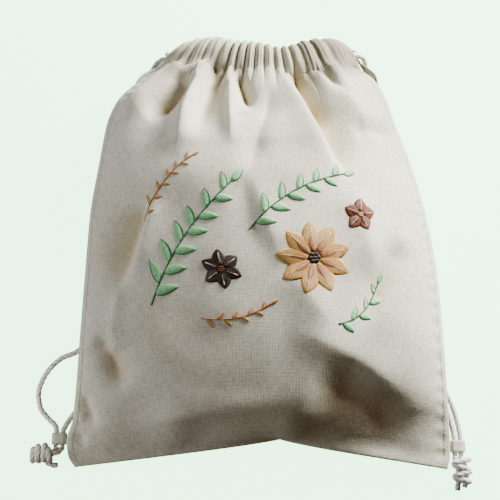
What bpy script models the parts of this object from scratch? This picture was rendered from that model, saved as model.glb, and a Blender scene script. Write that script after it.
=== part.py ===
"""Drawstring bread bag of natural cotton and linen cloth, filled out and lying on its back.

+X is the bag's right side as one looks down on its front, +Y runs towards the mouth and the
bag rests on z = 0. Lengths here are millimetres, and the meshes are written in metres.
The tables measure from a point near the middle of the front. MIDDLE moves the origin from there
to the middle of the bag's outline.
"""
import math

import bpy
import numpy as np

MM = 0.001
MIDDLE = (-0.65, 16.6, 0.0)  # middle of the bag's outline in the tables' measures

# ---- driving dimensions -------------------------------------------------------------------
CLOTH = 1.5                 # thickness of the cloth with its turned seams
PLY_GAP = 0.3               # air between two pieces that are sewn together
CORD = 5.5                  # diameter of the twisted cotton cord
TAPE = 1.2                  # thickness of the tape of the corner loops
TAPE_WIDTH = 11.0

COLUMNS_PER_PLEAT = 4
PLEAT_DEPTH = 2.2           # a gather stands this far above and below the heading's mean
CHANNEL_FRONT = 10.0        # half the thickness of the drawstring channel
CHANNEL_BACK = 9.8
CHANNEL_STEPS = 8           # faces around the channel

# Sections of a panel from the bottom seam (0) to the channel's stitching (1).
# A section runs from the left seam over its top point to the right seam.
# columns: share, left x y z, top x y z, right x y z, bend of y, roundness of z, edge of z, crowding
FRONT_SECTIONS = (
    (0.00, -178, -199, 4.0, 20, -173, 27, 182, -201, 4.0, 0.8, 1.7, 1.00, 0.5),
    (0.03, -185, -188, 4.5, 16, -173, 34, 185, -189, 5.0, 1.0, 1.8, 1.10, 0.6),
    (0.06, -186.5, -175, 8.0, 14, -169, 43, 185, -175, 8.0, 1.2, 2.0, 1.10, 0.7),
    (0.11, -180, -155, 16.0, 12, -159, 55, 183, -153, 15.0, 1.5, 2.2, 1.00, 0.9),
    (0.14, -178, -142, 21.0, 9, -150, 62, 182, -141, 20.0, 1.6, 2.3, 0.95, 1.0),
    (0.18, -176, -125, 26.0, 5, -136, 70, 181, -125, 24.0, 1.8, 2.3, 0.90, 1.0),
    (0.28, -173, -80, 34.0, 3, -98, 84, 178, -80, 33.0, 2.0, 2.3, 0.85, 1.0),
    (0.42, -170, -16, 37.0, 3, -44, 97, 174, -18, 37.0, 2.0, 2.2, 0.82, 1.0),
    (0.56, -167, 47, 38.0, 3, 13, 105, 165, 44, 38.0, 2.0, 2.2, 0.82, 1.0),
    (0.68, -160, 100, 38.0, 3, 61, 108, 152, 98, 38.0, 2.2, 2.2, 0.82, 0.9),
    (0.78, -154, 142, 37.0, 3, 100, 103, 138, 140, 37.0, 2.4, 2.2, 0.84, 0.8),
    (0.82, -149, 157, 38.0, 3, 116, 98, 133, 155, 39.0, 2.5, 2.2, 0.85, 0.8),
    (0.86, -141, 171, 39.0, 2, 132, 92, 127, 172, 41.5, 2.6, 2.2, 0.86, 0.7),
    (0.93, -122, 188, 41.0, 1, 161, 79, 116, 189, 43.5, 3.0, 2.3, 0.90, 0.6),
    (1.00, -100, 203, 42.0, 0, 187, 65, 101, 201, 43.0, 3.5, 2.6, 1.00, 0.4),
)
# columns: as above, with flat share of the width and weight of the flat form in place of the last
BACK_SECTIONS = (
    (0.00, -178, -199, 4.0, 20, -173, 27.0, 182, -201, 4.0, 0.8, 1.7, 1.00, 0.5, 0.65, 0.0),
    (0.03, -185, -188, 4.5, 16, -171, 20.0, 185, -189, 5.0, 1.0, 1.8, 1.10, 0.6, 0.65, 0.3),
    (0.06, -186.5, -175, 8.0, 10, -164, 11.5, 185, -175, 8.0, 1.3, 2.0, 1.10, 0.7, 0.65, 0.7),
    (0.11, -180, -155, 16.0, 5, -150, 4.5, 183, -153, 15.0, 1.6, 2.2, 0.95, 0.8, 0.65, 0.95),
    (0.18, -176, -125, 26.0, 3, -124, 1.5, 181, -125, 24.0, 1.8, 2.3, 0.85, 0.8, 0.65, 1.0),
    (0.28, -173, -80, 34.0, 3, -82, 1.5, 178, -80, 33.0, 2.0, 2.3, 0.78, 0.8, 0.65, 1.0),
    (0.42, -170, -16, 37.0, 3, -22, 1.5, 174, -18, 37.0, 2.0, 2.3, 0.75, 0.8, 0.65, 1.0),
    (0.56, -167, 47, 38.0, 3, 38, 1.5, 165, 44, 38.0, 2.0, 2.3, 0.75, 0.8, 0.65, 1.0),
    (0.68, -160, 100, 38.0, 3, 86, 1.5, 152, 98, 38.0, 2.2, 2.3, 0.78, 0.8, 0.62, 1.0),
    (0.78, -154, 142, 37.0, 3, 124, 1.5, 138, 140, 37.0, 2.4, 2.3, 0.80, 0.8, 0.60, 1.0),
    (0.82, -142, 157, 31.5, 3, 138, 1.5, 125, 156, 32.0, 2.5, 2.3, 0.82, 0.8, 0.60, 1.0),
    (0.86, -135, 172, 30.0, 2, 152, 1.6, 124, 173, 30.0, 2.6, 2.3, 0.85, 0.7, 0.60, 1.0),
    (0.93, -122, 196, 37.0, 1, 174, 2.5, 121, 196, 36.0, 3.0, 2.4, 0.90, 0.6, 0.62, 1.0),
    (1.00, -101, 210, 33.0, 0, 193, 5.0, 106, 212, 34.0, 3.5, 2.6, 1.00, 0.4, 0.62, 1.0),
)

# Heading from its left end (-1) to its right end (1).
# columns: place, stitching x y z, top edge x y z
FRONT_HEADING = (
    (-1.00, -100, 203.0, 42, -74, 221, 45),
    (-0.85, -86, 198.0, 47, -64, 227, 48),
    (-0.60, -60, 193.5, 55, -45, 229, 52),
    (-0.30, -30, 190.5, 62, -22, 222, 57),
    (0.00, -1, 187.0, 65, 0, 219, 59),
    (0.30, 28, 184.0, 65, 22, 214, 59),
    (0.60, 59, 188.0, 60, 45, 222, 56),
    (0.85, 87, 196.0, 50, 67, 228, 51),
    (1.00, 101, 201.0, 43, 81, 225, 44),
)
BACK_HEADING = (
    (-1.00, -101, 210, 33.0, -76, 227, 26.0),
    (-0.85, -91, 205, 21.0, -66, 226, 19.0),
    (-0.60, -66, 198, 9.0, -47, 224, 14.0),
    (-0.30, -33, 194, 5.0, -24, 222, 12.0),
    (0.00, 0, 193, 5.0, 0, 221, 12.0),
    (0.30, 34, 194, 5.0, 24, 221, 12.0),
    (0.60, 68, 198, 9.0, 50, 224, 14.0),
    (0.85, 94, 206, 20.0, 74, 230, 18.0),
    (1.00, 106, 212, 34.0, 86, 233, 25.0),
)

# How far the stitching is set out from the channel's middle towards its outer face
# rows: places from the left (-1) to the right (1), distances
FRONT_SET_OUT = ((-1, -0.75, -0.35, -0.1, 0.1, 0.35, 0.75, 1), (0, 3.5, 4, 3.5, 3.5, 7, 7, 0))
BACK_SET_OUT = ((-1, -0.6, 0.6, 1), (0, 2, 2, 0))

# Gathers from left to right. columns: width when gathered, depth, share of the panel it runs down
FRONT_GATHERS = (
    (15, 0.8, 0.10),
    (9, 1.0, 0.06),
    (12, 0.6, 0.05),
    (16, 0.5, 0.10),
    (9, 1.1, 0.07),
    (8, 1.2, 0.12),
    (8, 1.0, 0.05),
    (9, 1.1, 0.08),
    (9, 0.8, 0.05),
    (11, 1.0, 0.10),
    (9, 0.8, 0.06),
    (9, 1.1, 0.10),
    (10, 0.7, 0.06),
    (13, 1.1, 0.12),
    (12, 1.0, 0.10),
    (20, 0.6, 0.08),
)
BACK_GATHERS = (
    (18, 0.7, 0.10),
    (13, 1.0, 0.14),
    (11, 0.9, 0.08),
    (14, 1.1, 0.16),
    (12, 0.8, 0.10),
    (15, 1.0, 0.12),
    (11, 1.1, 0.18),
    (14, 0.9, 0.10),
    (12, 1.0, 0.14),
    (15, 0.8, 0.08),
    (13, 1.1, 0.16),
    (19, 0.7, 0.10),
)

# Folds of the filled panels. columns: start x y, bend x y, end x y, width on the left and on the
# right of one who walks that line, height, share of it (eased) at which the fold starts
FRONT_FOLDS = (
    (-75, 203, -102, 178, -148, 136, 11, 12, 8.0, 0.5),  # lobe to the left shoulder
    (-66, 182, -86, 154, -112, 134, 10, 14, -14.0, 0.35),  # hollow beneath that lobe
    (-54, 202, -65, 156, -82, 82, 13, 11, 14.0, 0.4),  # long ridge left of the middle
    (-41, 198, -52, 149, -66, 102, 12, 8, -11.0, 0.35),  # hollow beside it
    (-29, 185, -28, 140, -26, 92, 7, 6, 7.0, 0.6),  # narrow ridge in the middle
    (-21, 184, -16, 162, -7, 131, 6, 5, -11.0, 0.4),  # short deep crease under the stitching
    (3, 185, 6, 140, -1, 78, 15, 14, 5.0, 0.5),  # full part right of the middle
    (12, 164, 3, 112, -13, 62, 10, 12, -7.0, 0),  # soft hollow running down to the left
    (22, 184, 43, 139, 77, 64, 6, 20, 9.0, 0.4),  # long ridge to the right
    (31, 188, 46, 156, 66, 116, 13, 6, -15.0, 0.35),  # steep hollow on its right side
    (50, 150, 68, 110, 92, 58, 20, 7, -10.0, 0),  # and that hollow's softer run down
    (64, 198, 88, 157, 120, 96, 16, 14, 7.0, 0.4),  # full right shoulder
    (50, 198, 64, 182, 92, 156, 6, 5, -6.0, 0.4),  # crease in that shoulder
    (88, 118, 114, 128, 140, 124, 11, 11, -6.0, 0),  # soft dent in the right shoulder
    (-106, 52, -114, 18, -140, -44, 7, 24, -12.0, 0),  # deep hollow in the left side
    (-102, 52, -109, 18, -131, -36, 13, 5, 6.0, 0),  # ridge along that hollow
    (-133, -30, -136, -60, -139, -92, 6, 8, 3.0, 0),  # and its run down the side
    (-7, 70, 3, 23, 27, -28, 16, 12, 3.2, 0),  # bowed ridge down the middle
    (-17, 70, -12, 25, 8, -22, 11, 16, -2.6, 0),  # hollow on its left
    (27, -20, 44, -50, 78, -86, 17, 15, 2.8, 0),  # and on to the right
    (20, -80, 84, -88, 160, -152, 20, 18, 5.0, 0),  # break above the lower right slope
    (42, -122, 106, -150, 156, -180, 34, 34, -10.5, 0),  # hollow below it
    (-130, -164, -40, -142, 46, -150, 13, 10, 4.5, 0),  # edge where the bottom turns under
    (86, 64, 101, 13, 112, -36, 18, 18, 5.5, 0),  # wedge on the right
    (142, 14, 120, -22, 90, -84, 12, 13, -6.5, 0),  # slanting hollow on the right
    (-157, -77, -143, -94, -127, -138, 8, 11, -7.5, 0),  # upper short crease at lower left
    (-172, -128, -165, -147, -155, -166, 6, 7, -5.0, 0),  # lower short crease at lower left
    (-139, -88, -133, -106, -122, -134, 12, 12, -4.0, 0),  # soft hollow beside them
    (-182, -159, -177, -170, -164, -180, 5, 6, -3.5, 0),  # crease above the flat left corner
)
BACK_FOLDS = (
    (-120, 130, -128, 100, -132, 60, 10, 10, 3.0, 0),
    (-132, 20, -128, -20, -134, -60, 9, 12, 3.5, 0),
    (-128, -90, -120, -120, -126, -150, 10, 10, 4.0, 0),
    (124, 110, 134, 70, 132, 20, 12, 9, 3.5, 0),
    (134, -10, 130, -50, 138, -95, 9, 12, 3.0, 0),
    (120, -120, 128, -140, 140, -160, 9, 9, 3.5, 0),
    (-60, -150, -20, -146, 10, -152, 8, 8, 3.0, 0),
    (30, -158, 60, -150, 90, -160, 8, 8, 3.0, 0),
    (-70, 192, -90, 160, -104, 120, 8, 10, 4.0, 1),
    (-30, 188, -36, 160, -46, 120, 7, 9, 3.0, 1),
    (20, 188, 26, 165, 30, 120, 8, 8, 3.0, 1),
    (70, 194, 88, 165, 100, 130, 9, 9, 4.0, 1),
)
FOLD_STEPS = 8              # straight steps along a fold's bent line
FOLD_IN = 0.30              # share of a fold's length over which it rises
FOLD_OUT = 0.40             # and over which it runs out
FOLD_ROUND = 1.6            # 2 is a round fold, less is a sharper one
FOLD_IN_CHANNEL = 0.2       # share of the channel's round over which folds end in the heading
SEAM_HOLD = 0.05            # the bottom seam holds the cloth down over this share of its length
SEAM_HOLD_SIDE = 9.0        # and the side seams over one ninth of the half width
DRAWN_FROM = 0.84           # share of the panel's length above which the cords draw it in
BACK_RISE = 1.8             # how the back lifts off the floor towards the seams
SET_OUT_SHARE = 0.25        # share of the channel's round that the set-out stitching draws with it
CHANNEL_SWELL = 1.22        # makes the channel's fullest point stand its full half thickness out
HEM_CLOSES = 0.8            # share of the channel's round from which the hem nears the stitching
HEM_INSET = 1.0             # the hem ends this far above the stitching


# Routes of the two cords: from the knot up beside the bag, out of sight into the open side slit,
# through one channel, round into the other and back down. Points are x y z of the centre line.
RIGHT_CORD = (
    (196.3, -188.6, 4.7), (196.3, -179, 4.6), (196.3, -170, 4.5), (194.2, -155, 2.95),
    (189.5, -138, 2.85), (181.5, -120, 2.85), (173, -98, 2.85), (167, -70, 2.85), (163, -35, 2.85),
    (160, 0, 2.85), (154, 40, 2.85), (145.5, 80, 2.85), (139.5, 104, 3.0), (136.5, 116, 4.5),
    (135, 126, 8.5), (134, 136, 16), (133.5, 146.5, 25.5), (131, 155.5, 32), (124, 166.5, 35.6),
    (117, 176, 35.6), (111.3, 186, 36), (106.8, 196, 37.6), (102.3, 203.9, 41), (95.7, 208.1, 43.5),
    (88.5, 209.4, 45.4), (73, 208.7, 52.9), (48, 203.8, 61.1), (23, 200.6, 64.5), (0, 205.6, 64.5),
    (-24, 209.2, 62), (-47, 215.2, 56.6), (-68, 217.8, 50.2), (-82, 217, 44.2), (-89, 217.6, 41.8),
    (-94.5, 220, 37.5), (-94.4, 223.5, 32.4), (-91, 224, 27.7), (-83, 221.8, 24), (-71, 218.8, 17.6),
    (-50, 214.8, 9.8), (-26, 211.9, 6.9), (0, 210, 6.5), (27, 209.5, 6.4), (54, 210.8, 8.9),
    (80, 216.1, 15.8), (94, 219.8, 26.3), (99.5, 221, 29.3), (104.9, 221.9, 30), (110.2, 219, 26.2),
    (113, 208, 18.5), (114, 193, 14.5), (115.5, 178, 10.5), (117.5, 160, 6.5), (120.5, 140, 4),
    (124.5, 120, 2.95), (129.5, 100, 2.85), (137, 75, 2.85), (147.5, 40, 2.85), (153.5, 0, 2.85),
    (156.5, -35, 2.85), (160, -70, 2.85), (166.5, -98, 2.85), (175.5, -121, 2.85), (183.3, -140, 2.85),
    (188, -155, 2.95), (190.4, -170, 4.5), (190.4, -179, 4.6), (190.4, -188.6, 4.7),
)
LEFT_CORD = (
    (-191.7, -178.4, 4.7), (-191.7, -171, 4.6), (-191.2, -163.5, 4.4), (-185.5, -152.5, 2.95),
    (-176.5, -140, 2.85), (-168.5, -125, 2.85), (-162.5, -100, 2.85), (-157.5, -60, 2.85),
    (-154, -20, 2.85), (-151.5, 20, 2.85), (-148, 60, 2.85), (-142, 95, 2.85), (-137, 118, 3.0),
    (-132.5, 140, 4.2), (-128, 160, 7), (-123, 178, 11), (-119, 191, 15.5), (-114.5, 203, 21),
    (-109, 212, 26.5), (-103, 217, 30), (-96.5, 218, 31), (-89, 216.5, 28.2), (-75, 213, 18.8),
    (-52, 209.4, 12.8), (-26, 207.6, 12), (0, 207.4, 12.1), (26, 208.9, 12.1), (52, 213.7, 14.7),
    (76, 221, 19.6), (90, 225.5, 27), (97.3, 226, 31), (100.8, 222.7, 36.2), (98, 218, 41.3),
    (91, 216, 43.7), (84, 215.6, 45.3), (69, 214.7, 51), (45, 207.7, 55.6), (23, 201.4, 58.4),
    (-1, 204.5, 58.3), (-24, 206.5, 56.4), (-48, 210, 52.7), (-71, 210.6, 48.3), (-88, 210, 43.7),
    (-94.6, 209.8, 42.3), (-101.2, 206, 39.8), (-107.5, 199, 37.3), (-114, 192, 36), (-121, 184, 35),
    (-128, 175.5, 34.8), (-135, 169.7, 35.3), (-142, 164.5, 34.2), (-148, 157.5, 30),
    (-150.5, 149, 23.5), (-151, 139.5, 15.5), (-150.5, 129, 8.5), (-150.2, 118, 4), (-151.5, 100, 2.85),
    (-155.5, 60, 2.85), (-158.5, 20, 2.85), (-161, -20, 2.85), (-163.5, -50, 2.85), (-169, -70, 2.85),
    (-181, -85, 2.85), (-197, -92.5, 2.85), (-210, -106, 2.85), (-217.3, -124, 2.85),
    (-215, -141, 2.85), (-207, -151.5, 3.0), (-199.2, -159, 4.2), (-197.6, -166.5, 4.6),
    (-197.6, -178.4, 4.7),
)
CORD_STEP = 20.0            # spacing of the tube's rings on straight stretches
CORD_BENDS = 7.0            # how many more rings a full turn takes

# Loop of tape sewn into each side seam by the bottom corner, as long as its two strands are wide
# columns: name, centre x y z of the loop
TAPE_LOOPS = (("tab_left", -194.65, -171.5, 4.6), ("tab_right", 193.35, -179.0, 4.6))
LOOP_HALF_LENGTH = 3.1      # straight half length of the loop's middle line
LOOP_RADIUS = 3.85          # radius of its round ends

# Stopper knots: each is one solid, made of the strands that cross in it.
# A strand is a list of x y z; a wrap is a centre x y z, its two half widths and its turn and tilt.
RIGHT_KNOT_TAILS = (
    ((196.3, -189.1, 4.7), (196.3, -192, 4.9), (198.9, -198, 6.8), (200.2, -205, 6.4), (199.8, -213, 4.2),
     (198.6, -218, 3.0)),
    ((190.4, -189.1, 4.7), (190.6, -192, 4.9), (192.4, -198, 6.8), (192.6, -206, 6.2), (192.5, -214, 4.0),
     (191.4, -221, 2.95)),
)
RIGHT_KNOT_WRAPS = (
    (195.7, -193.9, 8.0, 7.5, 4.9, 8, 8),
    (195.9, -199.8, 8.0, 7.2, 4.8, -12, -8),
    (196.3, -205.5, 7.6, 7.4, 4.6, 10, 6),
    (196.0, -211.3, 7.0, 6.9, 4.0, -8, -6),
)
LEFT_KNOT_TAILS = (
    ((-191.8, -178.9, 4.7), (-192, -181.2, 5.0), (-196.5, -185.5, 8), (-206, -183.5, 9.5),
     (-214, -182, 8.2), (-219, -185.5, 6.2), (-218, -191, 4.2), (-211.5, -193, 3.4)),
    ((-197.5, -178.9, 4.7), (-198, -181.5, 4.7), (-200, -185.5, 4.9), (-205, -188.5, 5),
     (-206.5, -193, 3.8), (-201.5, -196.5, 3), (-195.5, -197, 2.95)),
)
LEFT_KNOT_WRAPS = (
    (-208.0, -185.3, 7.9, 7.2, 4.8, 80, 6),
    (-214.2, -186.0, 7.7, 6.8, 4.7, 96, -6),
    (-203.6, -187.4, 7.7, 6.0, 4.7, 97, 5),
    (-219.0, -187.6, 7.0, 5.8, 4.1, 84, 4),
)
KNOT_RING_STEPS = 14
KNOT_SIDES = 8


# ---- reading tables -----------------------------------------------------------------------
def read_table(rows, at):
    """Every column of a table at each value of its first column, on a smooth monotone curve."""
    rows = np.array(rows, float)
    at = np.clip(np.atleast_1d(at), rows[0, 0], rows[-1, 0])
    step = np.diff(rows[:, 0])[:, None]
    rise = np.diff(rows[:, 1:], axis=0) / step
    turn = rise[1:] * rise[:-1]
    total = rise[1:] + rise[:-1]
    middle = np.where(turn > 0, 2 * turn / np.where(total == 0, 1, total), 0)
    slope = np.vstack([rise[:1], middle, rise[-1:]])
    i = np.clip(np.searchsorted(rows[:, 0], at, side="right") - 1, 0, len(step) - 1)
    t = ((at - rows[i, 0]) / step[i, 0])[:, None]
    start, end = rows[i, 1:], rows[i + 1, 1:]
    return (start * (2 * t ** 3 - 3 * t ** 2 + 1) + end * (3 * t ** 2 - 2 * t ** 3)
            + slope[i] * step[i] * (t ** 3 - 2 * t ** 2 + t)
            + slope[i + 1] * step[i] * (t ** 3 - t ** 2))


def ease(t):
    t = np.clip(t, 0, 1)
    return t * t * (3 - 2 * t)


# ---- cloth surfaces -----------------------------------------------------------------------
def section_points(sections, u, v):
    """Points of a panel's smooth form: u runs over the width (-1 to 1), v from seam to stitching."""
    column = [c[:, None] for c in read_table(sections, v).T]
    left, top, right = column[0:3], column[3:6], column[6:9]
    bend, rounding, edge, crowding = column[9:13]
    s = np.sin(u[None, :] * crowding) / np.sin(crowding)
    half = (right[0] - left[0]) / 2
    middle = (right[0] + left[0]) / 2
    apex = (top[0] - middle) / half
    on_left = s < apex
    d = np.where(on_left, (apex - s) / (1 + apex), (s - apex) / (1 - apex))
    side_y = np.where(on_left, left[1], right[1])
    side_z = np.where(on_left, left[2], right[2])
    x = middle + half * s
    y = top[1] + (side_y - top[1]) * d ** bend
    z = side_z + (top[2] - side_z) * (1 - d ** rounding) ** edge
    if len(column) > 13:
        flat, weight = column[13:15]
        rise = np.clip((d - flat) / (1 - flat), 0, 1) ** BACK_RISE
        z = z * (1 - weight) + (top[2] + (side_z - top[2]) * rise) * weight
    return np.stack([x, y, z], -1)


def heading_lines(panel, u):
    """Stitching of the heading, and the channel's height, upward and outward directions along it."""
    lines = read_table(panel["heading"], u)
    stitching, top = lines[:, 0:3], lines[:, 3:6]
    height = np.linalg.norm(top - stitching, axis=1)
    up = (top - stitching) / height[:, None]
    out = panel["facing"] * np.cross(np.gradient(top + stitching, axis=0), up)
    out /= np.linalg.norm(out, axis=1)[:, None]
    return stitching, height, up, out, np.interp(u, *panel["set_out"])


def panel_points(panel, u, v):
    """The smooth form, drawn to the heading's stitching over its last stretch."""
    points = section_points(panel["sections"], u, v)
    stitching, _, _, out, set_out = heading_lines(panel, u)
    stitching = stitching + out * set_out[:, None]
    end = section_points(panel["sections"], u, np.ones(1))[0]
    pull = ease((v - DRAWN_FROM) / (1 - DRAWN_FROM))[:, None, None]
    return points + pull * (stitching - end)[None]


def channel_points(panel, u, around):
    """The turned-down heading, once around the cords from the stitching back to it."""
    stitching, height, up, out, set_out = heading_lines(panel, u)
    closing = ease((around - HEM_CLOSES) / (1 - HEM_CLOSES))
    swell = CHANNEL_SWELL * np.sin(2 * math.pi * around) * np.sin(math.pi * around) ** 0.7
    face = swell * panel["channel"] * (1 - 2 * closing) - PLY_GAP * closing
    rise = np.outer(np.sin(math.pi * around) ** 2, height) + (HEM_INSET * closing)[:, None]
    near = 1 - ease(np.minimum(around, 1 - around) / SET_OUT_SHARE)
    face = face[:, None] + near[:, None] * set_out[None]
    return stitching[None] + up[None] * rise[..., None] + out[None] * face[..., None]


def gather_heights(gathers, u, v):
    """Height of the gathers: ridges and troughs of uneven width that run out down the panel."""
    width, depth, length = np.array(gathers, float).T
    edges = np.concatenate([[0], np.cumsum(width)]) / width.sum() * 2 - 1
    k = np.clip(np.searchsorted(edges, u, side="right") - 1, 0, len(width) - 1)
    share = (u - edges[k]) / (edges[k + 1] - edges[k])
    wave = -np.cos(2 * math.pi * share) * np.interp(u, (edges[:-1] + edges[1:]) / 2, depth)
    fade = ease(1 - (1 - v)[:, None] / length[k][None, :]) * ease((1 - np.abs(u)) * 14)[None, :]
    return PLEAT_DEPTH * wave[None, :] * fade


def fold_heights(folds, x, y):
    """Height of the folds: each a soft ridge (or trough) along a bent line, steeper on one side."""
    total = np.zeros_like(x)
    for x0, y0, xm, ym, x1, y1, wide_left, wide_right, height, rooted in folds:
        t = np.linspace(0, 1, FOLD_STEPS + 1)
        line_x = x0 * (1 - t) ** 2 + 2 * xm * t * (1 - t) + x1 * t ** 2
        line_y = y0 * (1 - t) ** 2 + 2 * ym * t * (1 - t) + y1 * t ** 2
        nearest = np.full(x.shape, np.inf)
        side, place = np.zeros_like(x), np.zeros_like(x)
        for i in range(FOLD_STEPS):
            ax, ay = line_x[i], line_y[i]
            bx, by = line_x[i + 1] - ax, line_y[i + 1] - ay
            along = np.clip(((x - ax) * bx + (y - ay) * by) / (bx * bx + by * by), 0, 1)
            dx, dy = x - ax - along * bx, y - ay - along * by
            closer = np.hypot(dx, dy) < nearest
            nearest = np.where(closer, np.hypot(dx, dy), nearest)
            side = np.where(closer, bx * dy - by * dx, side)
            place = np.where(closer, (i + along) / FOLD_STEPS, place)
        width = np.where(side > 0, wide_left, wide_right)
        ends = ease(place / FOLD_IN + rooted) * ease((1 - place) / FOLD_OUT)
        total += height * ends * np.exp(-(nearest / width) ** FOLD_ROUND)
    return total


def unit_normals(points, facing):
    across = np.gradient(points, axis=1)
    along = np.gradient(points, axis=0)
    normal = facing * np.cross(across, along)
    return normal / np.linalg.norm(normal, axis=2)[..., None]


def cloth_grid(panel, u, v, around):
    """Inner and outer face of one panel with its heading, as two grids of points."""
    body = panel_points(panel, u, v)
    channel = channel_points(panel, u, around[1:])
    smooth = np.concatenate([body, channel])
    normal = unit_normals(smooth, panel["facing"])
    rows = len(v)
    held = ease(v / SEAM_HOLD)[:, None] * ease((1 - np.abs(u)) * SEAM_HOLD_SIDE)[None, :]
    height = fold_heights(panel["folds"], body[..., 0], body[..., 1]) * held
    gathered = gather_heights(panel["gathers"], u, v)
    height += gathered
    inner = smooth.copy()
    inner[:rows] += normal[:rows] * height[..., None]
    near_stitching = 1 - ease(np.minimum(around[1:], 1 - around[1:]) / FOLD_IN_CHANNEL)
    lift = gathered[-1][None, :] + np.outer(near_stitching, height[-1] - gathered[-1])
    inner[rows:] += normal[rows - 1][None] * lift[..., None]
    inner[..., 2] = np.maximum(inner[..., 2] + panel["facing"] * PLY_GAP / 2, CLOTH)
    return inner, inner + normal * CLOTH


# ---- meshes -------------------------------------------------------------------------------
def add_object(name, points, faces, material):
    mesh = bpy.data.meshes.new(name)
    mesh.from_pydata([tuple(p) for p in (np.asarray(points) - MIDDLE) * MM], [], faces)
    mesh.update()
    mesh.materials.append(material)
    part = bpy.data.objects.new(name, mesh)
    bpy.context.scene.collection.objects.link(part)
    return part


def make_material(name, colour, roughness):
    material = bpy.data.materials.new(name)
    material.use_nodes = True
    shader = material.node_tree.nodes["Principled BSDF"]
    shader.inputs["Base Color"].default_value = (*colour, 1)
    shader.inputs["Roughness"].default_value = roughness
    shader.inputs["Metallic"].default_value = 0
    return material


def strip_faces(lower, upper):
    """Faces between two rows; where the upper row has twice the points, three to each gap."""
    faces = []
    if len(lower) == len(upper):
        for i in range(len(lower) - 1):
            faces.append((lower[i], lower[i + 1], upper[i + 1], upper[i]))
        return faces
    for i in range(len(lower) - 1):
        faces.append((lower[i], upper[2 * i + 1], upper[2 * i]))
        faces.append((lower[i], lower[i + 1], upper[2 * i + 1]))
        faces.append((lower[i + 1], upper[2 * i + 2], upper[2 * i + 1]))
    return faces


def make_panel(name, panel, material):
    """One closed sheet: both faces of the cloth and the rims that join them."""
    columns = len(panel["gathers"]) * COLUMNS_PER_PLEAT
    widths = np.array(panel["gathers"], float)[:, 0]
    edges = np.concatenate([[0], np.cumsum(widths)]) / widths.sum() * 2 - 1
    u = np.interp(np.arange(columns + 1) / COLUMNS_PER_PLEAT, np.arange(len(edges)), edges)
    v = np.array(panel["rows"])
    around = np.linspace(0, 1, CHANNEL_STEPS + 1)
    inner, outer = cloth_grid(panel, u, v, around)
    points, rows = [], []
    for face in (inner, outer):
        face_rows = []
        for j, line in enumerate(face):
            every = 2 if j < panel["coarse_rows"] else 1
            used = line[::every]
            face_rows.append(list(range(len(points), len(points) + len(used))))
            points.extend(used)
        rows.append(face_rows)
    faces = []
    for j in range(len(inner) - 1):
        faces += [f[::-1] for f in strip_faces(rows[0][j], rows[0][j + 1])]
        faces += strip_faces(rows[1][j], rows[1][j + 1])
        for end in (0, -1):
            rim = (rows[0][j][end], rows[0][j + 1][end], rows[1][j + 1][end], rows[1][j][end])
            faces.append(rim[::-1] if end == 0 else rim)
    for j in (0, -1):
        for i in range(len(rows[0][j]) - 1):
            rim = (rows[0][j][i], rows[1][j][i], rows[1][j][i + 1], rows[0][j][i + 1])
            faces.append(rim[::-1] if j == 0 else rim)
    if panel["facing"] < 0:
        faces = [f[::-1] for f in faces]
    return add_object(name, points, faces, material)


# ---- cords, loops and knots ---------------------------------------------------------------
def smooth_path(route, per_stretch):
    """A smooth curve through every point of a route (Catmull-Rom), evenly divided."""
    route = np.array(route, float)
    knots = np.concatenate([2 * route[:1] - route[1:2], route, 2 * route[-1:] - route[-2:-1]])
    p0, p1, p2, p3 = knots[:-3], knots[1:-2], knots[2:-1], knots[3:]
    t = np.linspace(0, 1, per_stretch, endpoint=False)[None, :, None]
    p0, p1, p2, p3 = (p[:, None, :] for p in (p0, p1, p2, p3))
    curve = 0.5 * (2 * p1 + (p2 - p0) * t + (2 * p0 - 5 * p1 + 4 * p2 - p3) * t ** 2
                   + (3 * p1 - p0 - 3 * p2 + p3) * t ** 3)
    return np.concatenate([curve.reshape(-1, 3), route[-1:]])


def spaced_path(route):
    """The route's curve at points that lie closer where it bends."""
    path = smooth_path(route, 24)
    step = np.diff(path, axis=0)
    length = np.linalg.norm(step, axis=1)
    heading = step / length[:, None]
    turn = np.arccos(np.clip(np.sum(heading[1:] * heading[:-1], axis=1), -1, 1))
    need = length / CORD_STEP
    need[1:] += turn * CORD_BENDS / (2 * math.pi)
    total = np.concatenate([[0], np.cumsum(need)])
    marks = np.linspace(0, total[-1], int(round(total[-1])) + 1)
    return np.stack([np.interp(marks, total, path[:, k]) for k in range(3)], 1)


def make_cord(name, route, material):
    points = spaced_path(route)
    curve = bpy.data.curves.new(name, "CURVE")
    curve.dimensions = "3D"
    curve.bevel_depth = CORD / 2 * MM
    curve.bevel_resolution = 2
    curve.use_fill_caps = True
    spline = curve.splines.new("POLY")
    spline.points.add(len(points) - 1)
    for target, point in zip(spline.points, (points - MIDDLE) * MM):
        target.co = (*point, 1)
    curve.materials.append(material)
    cord = bpy.data.objects.new(name, curve)
    bpy.context.scene.collection.objects.link(cord)
    return cord


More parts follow.
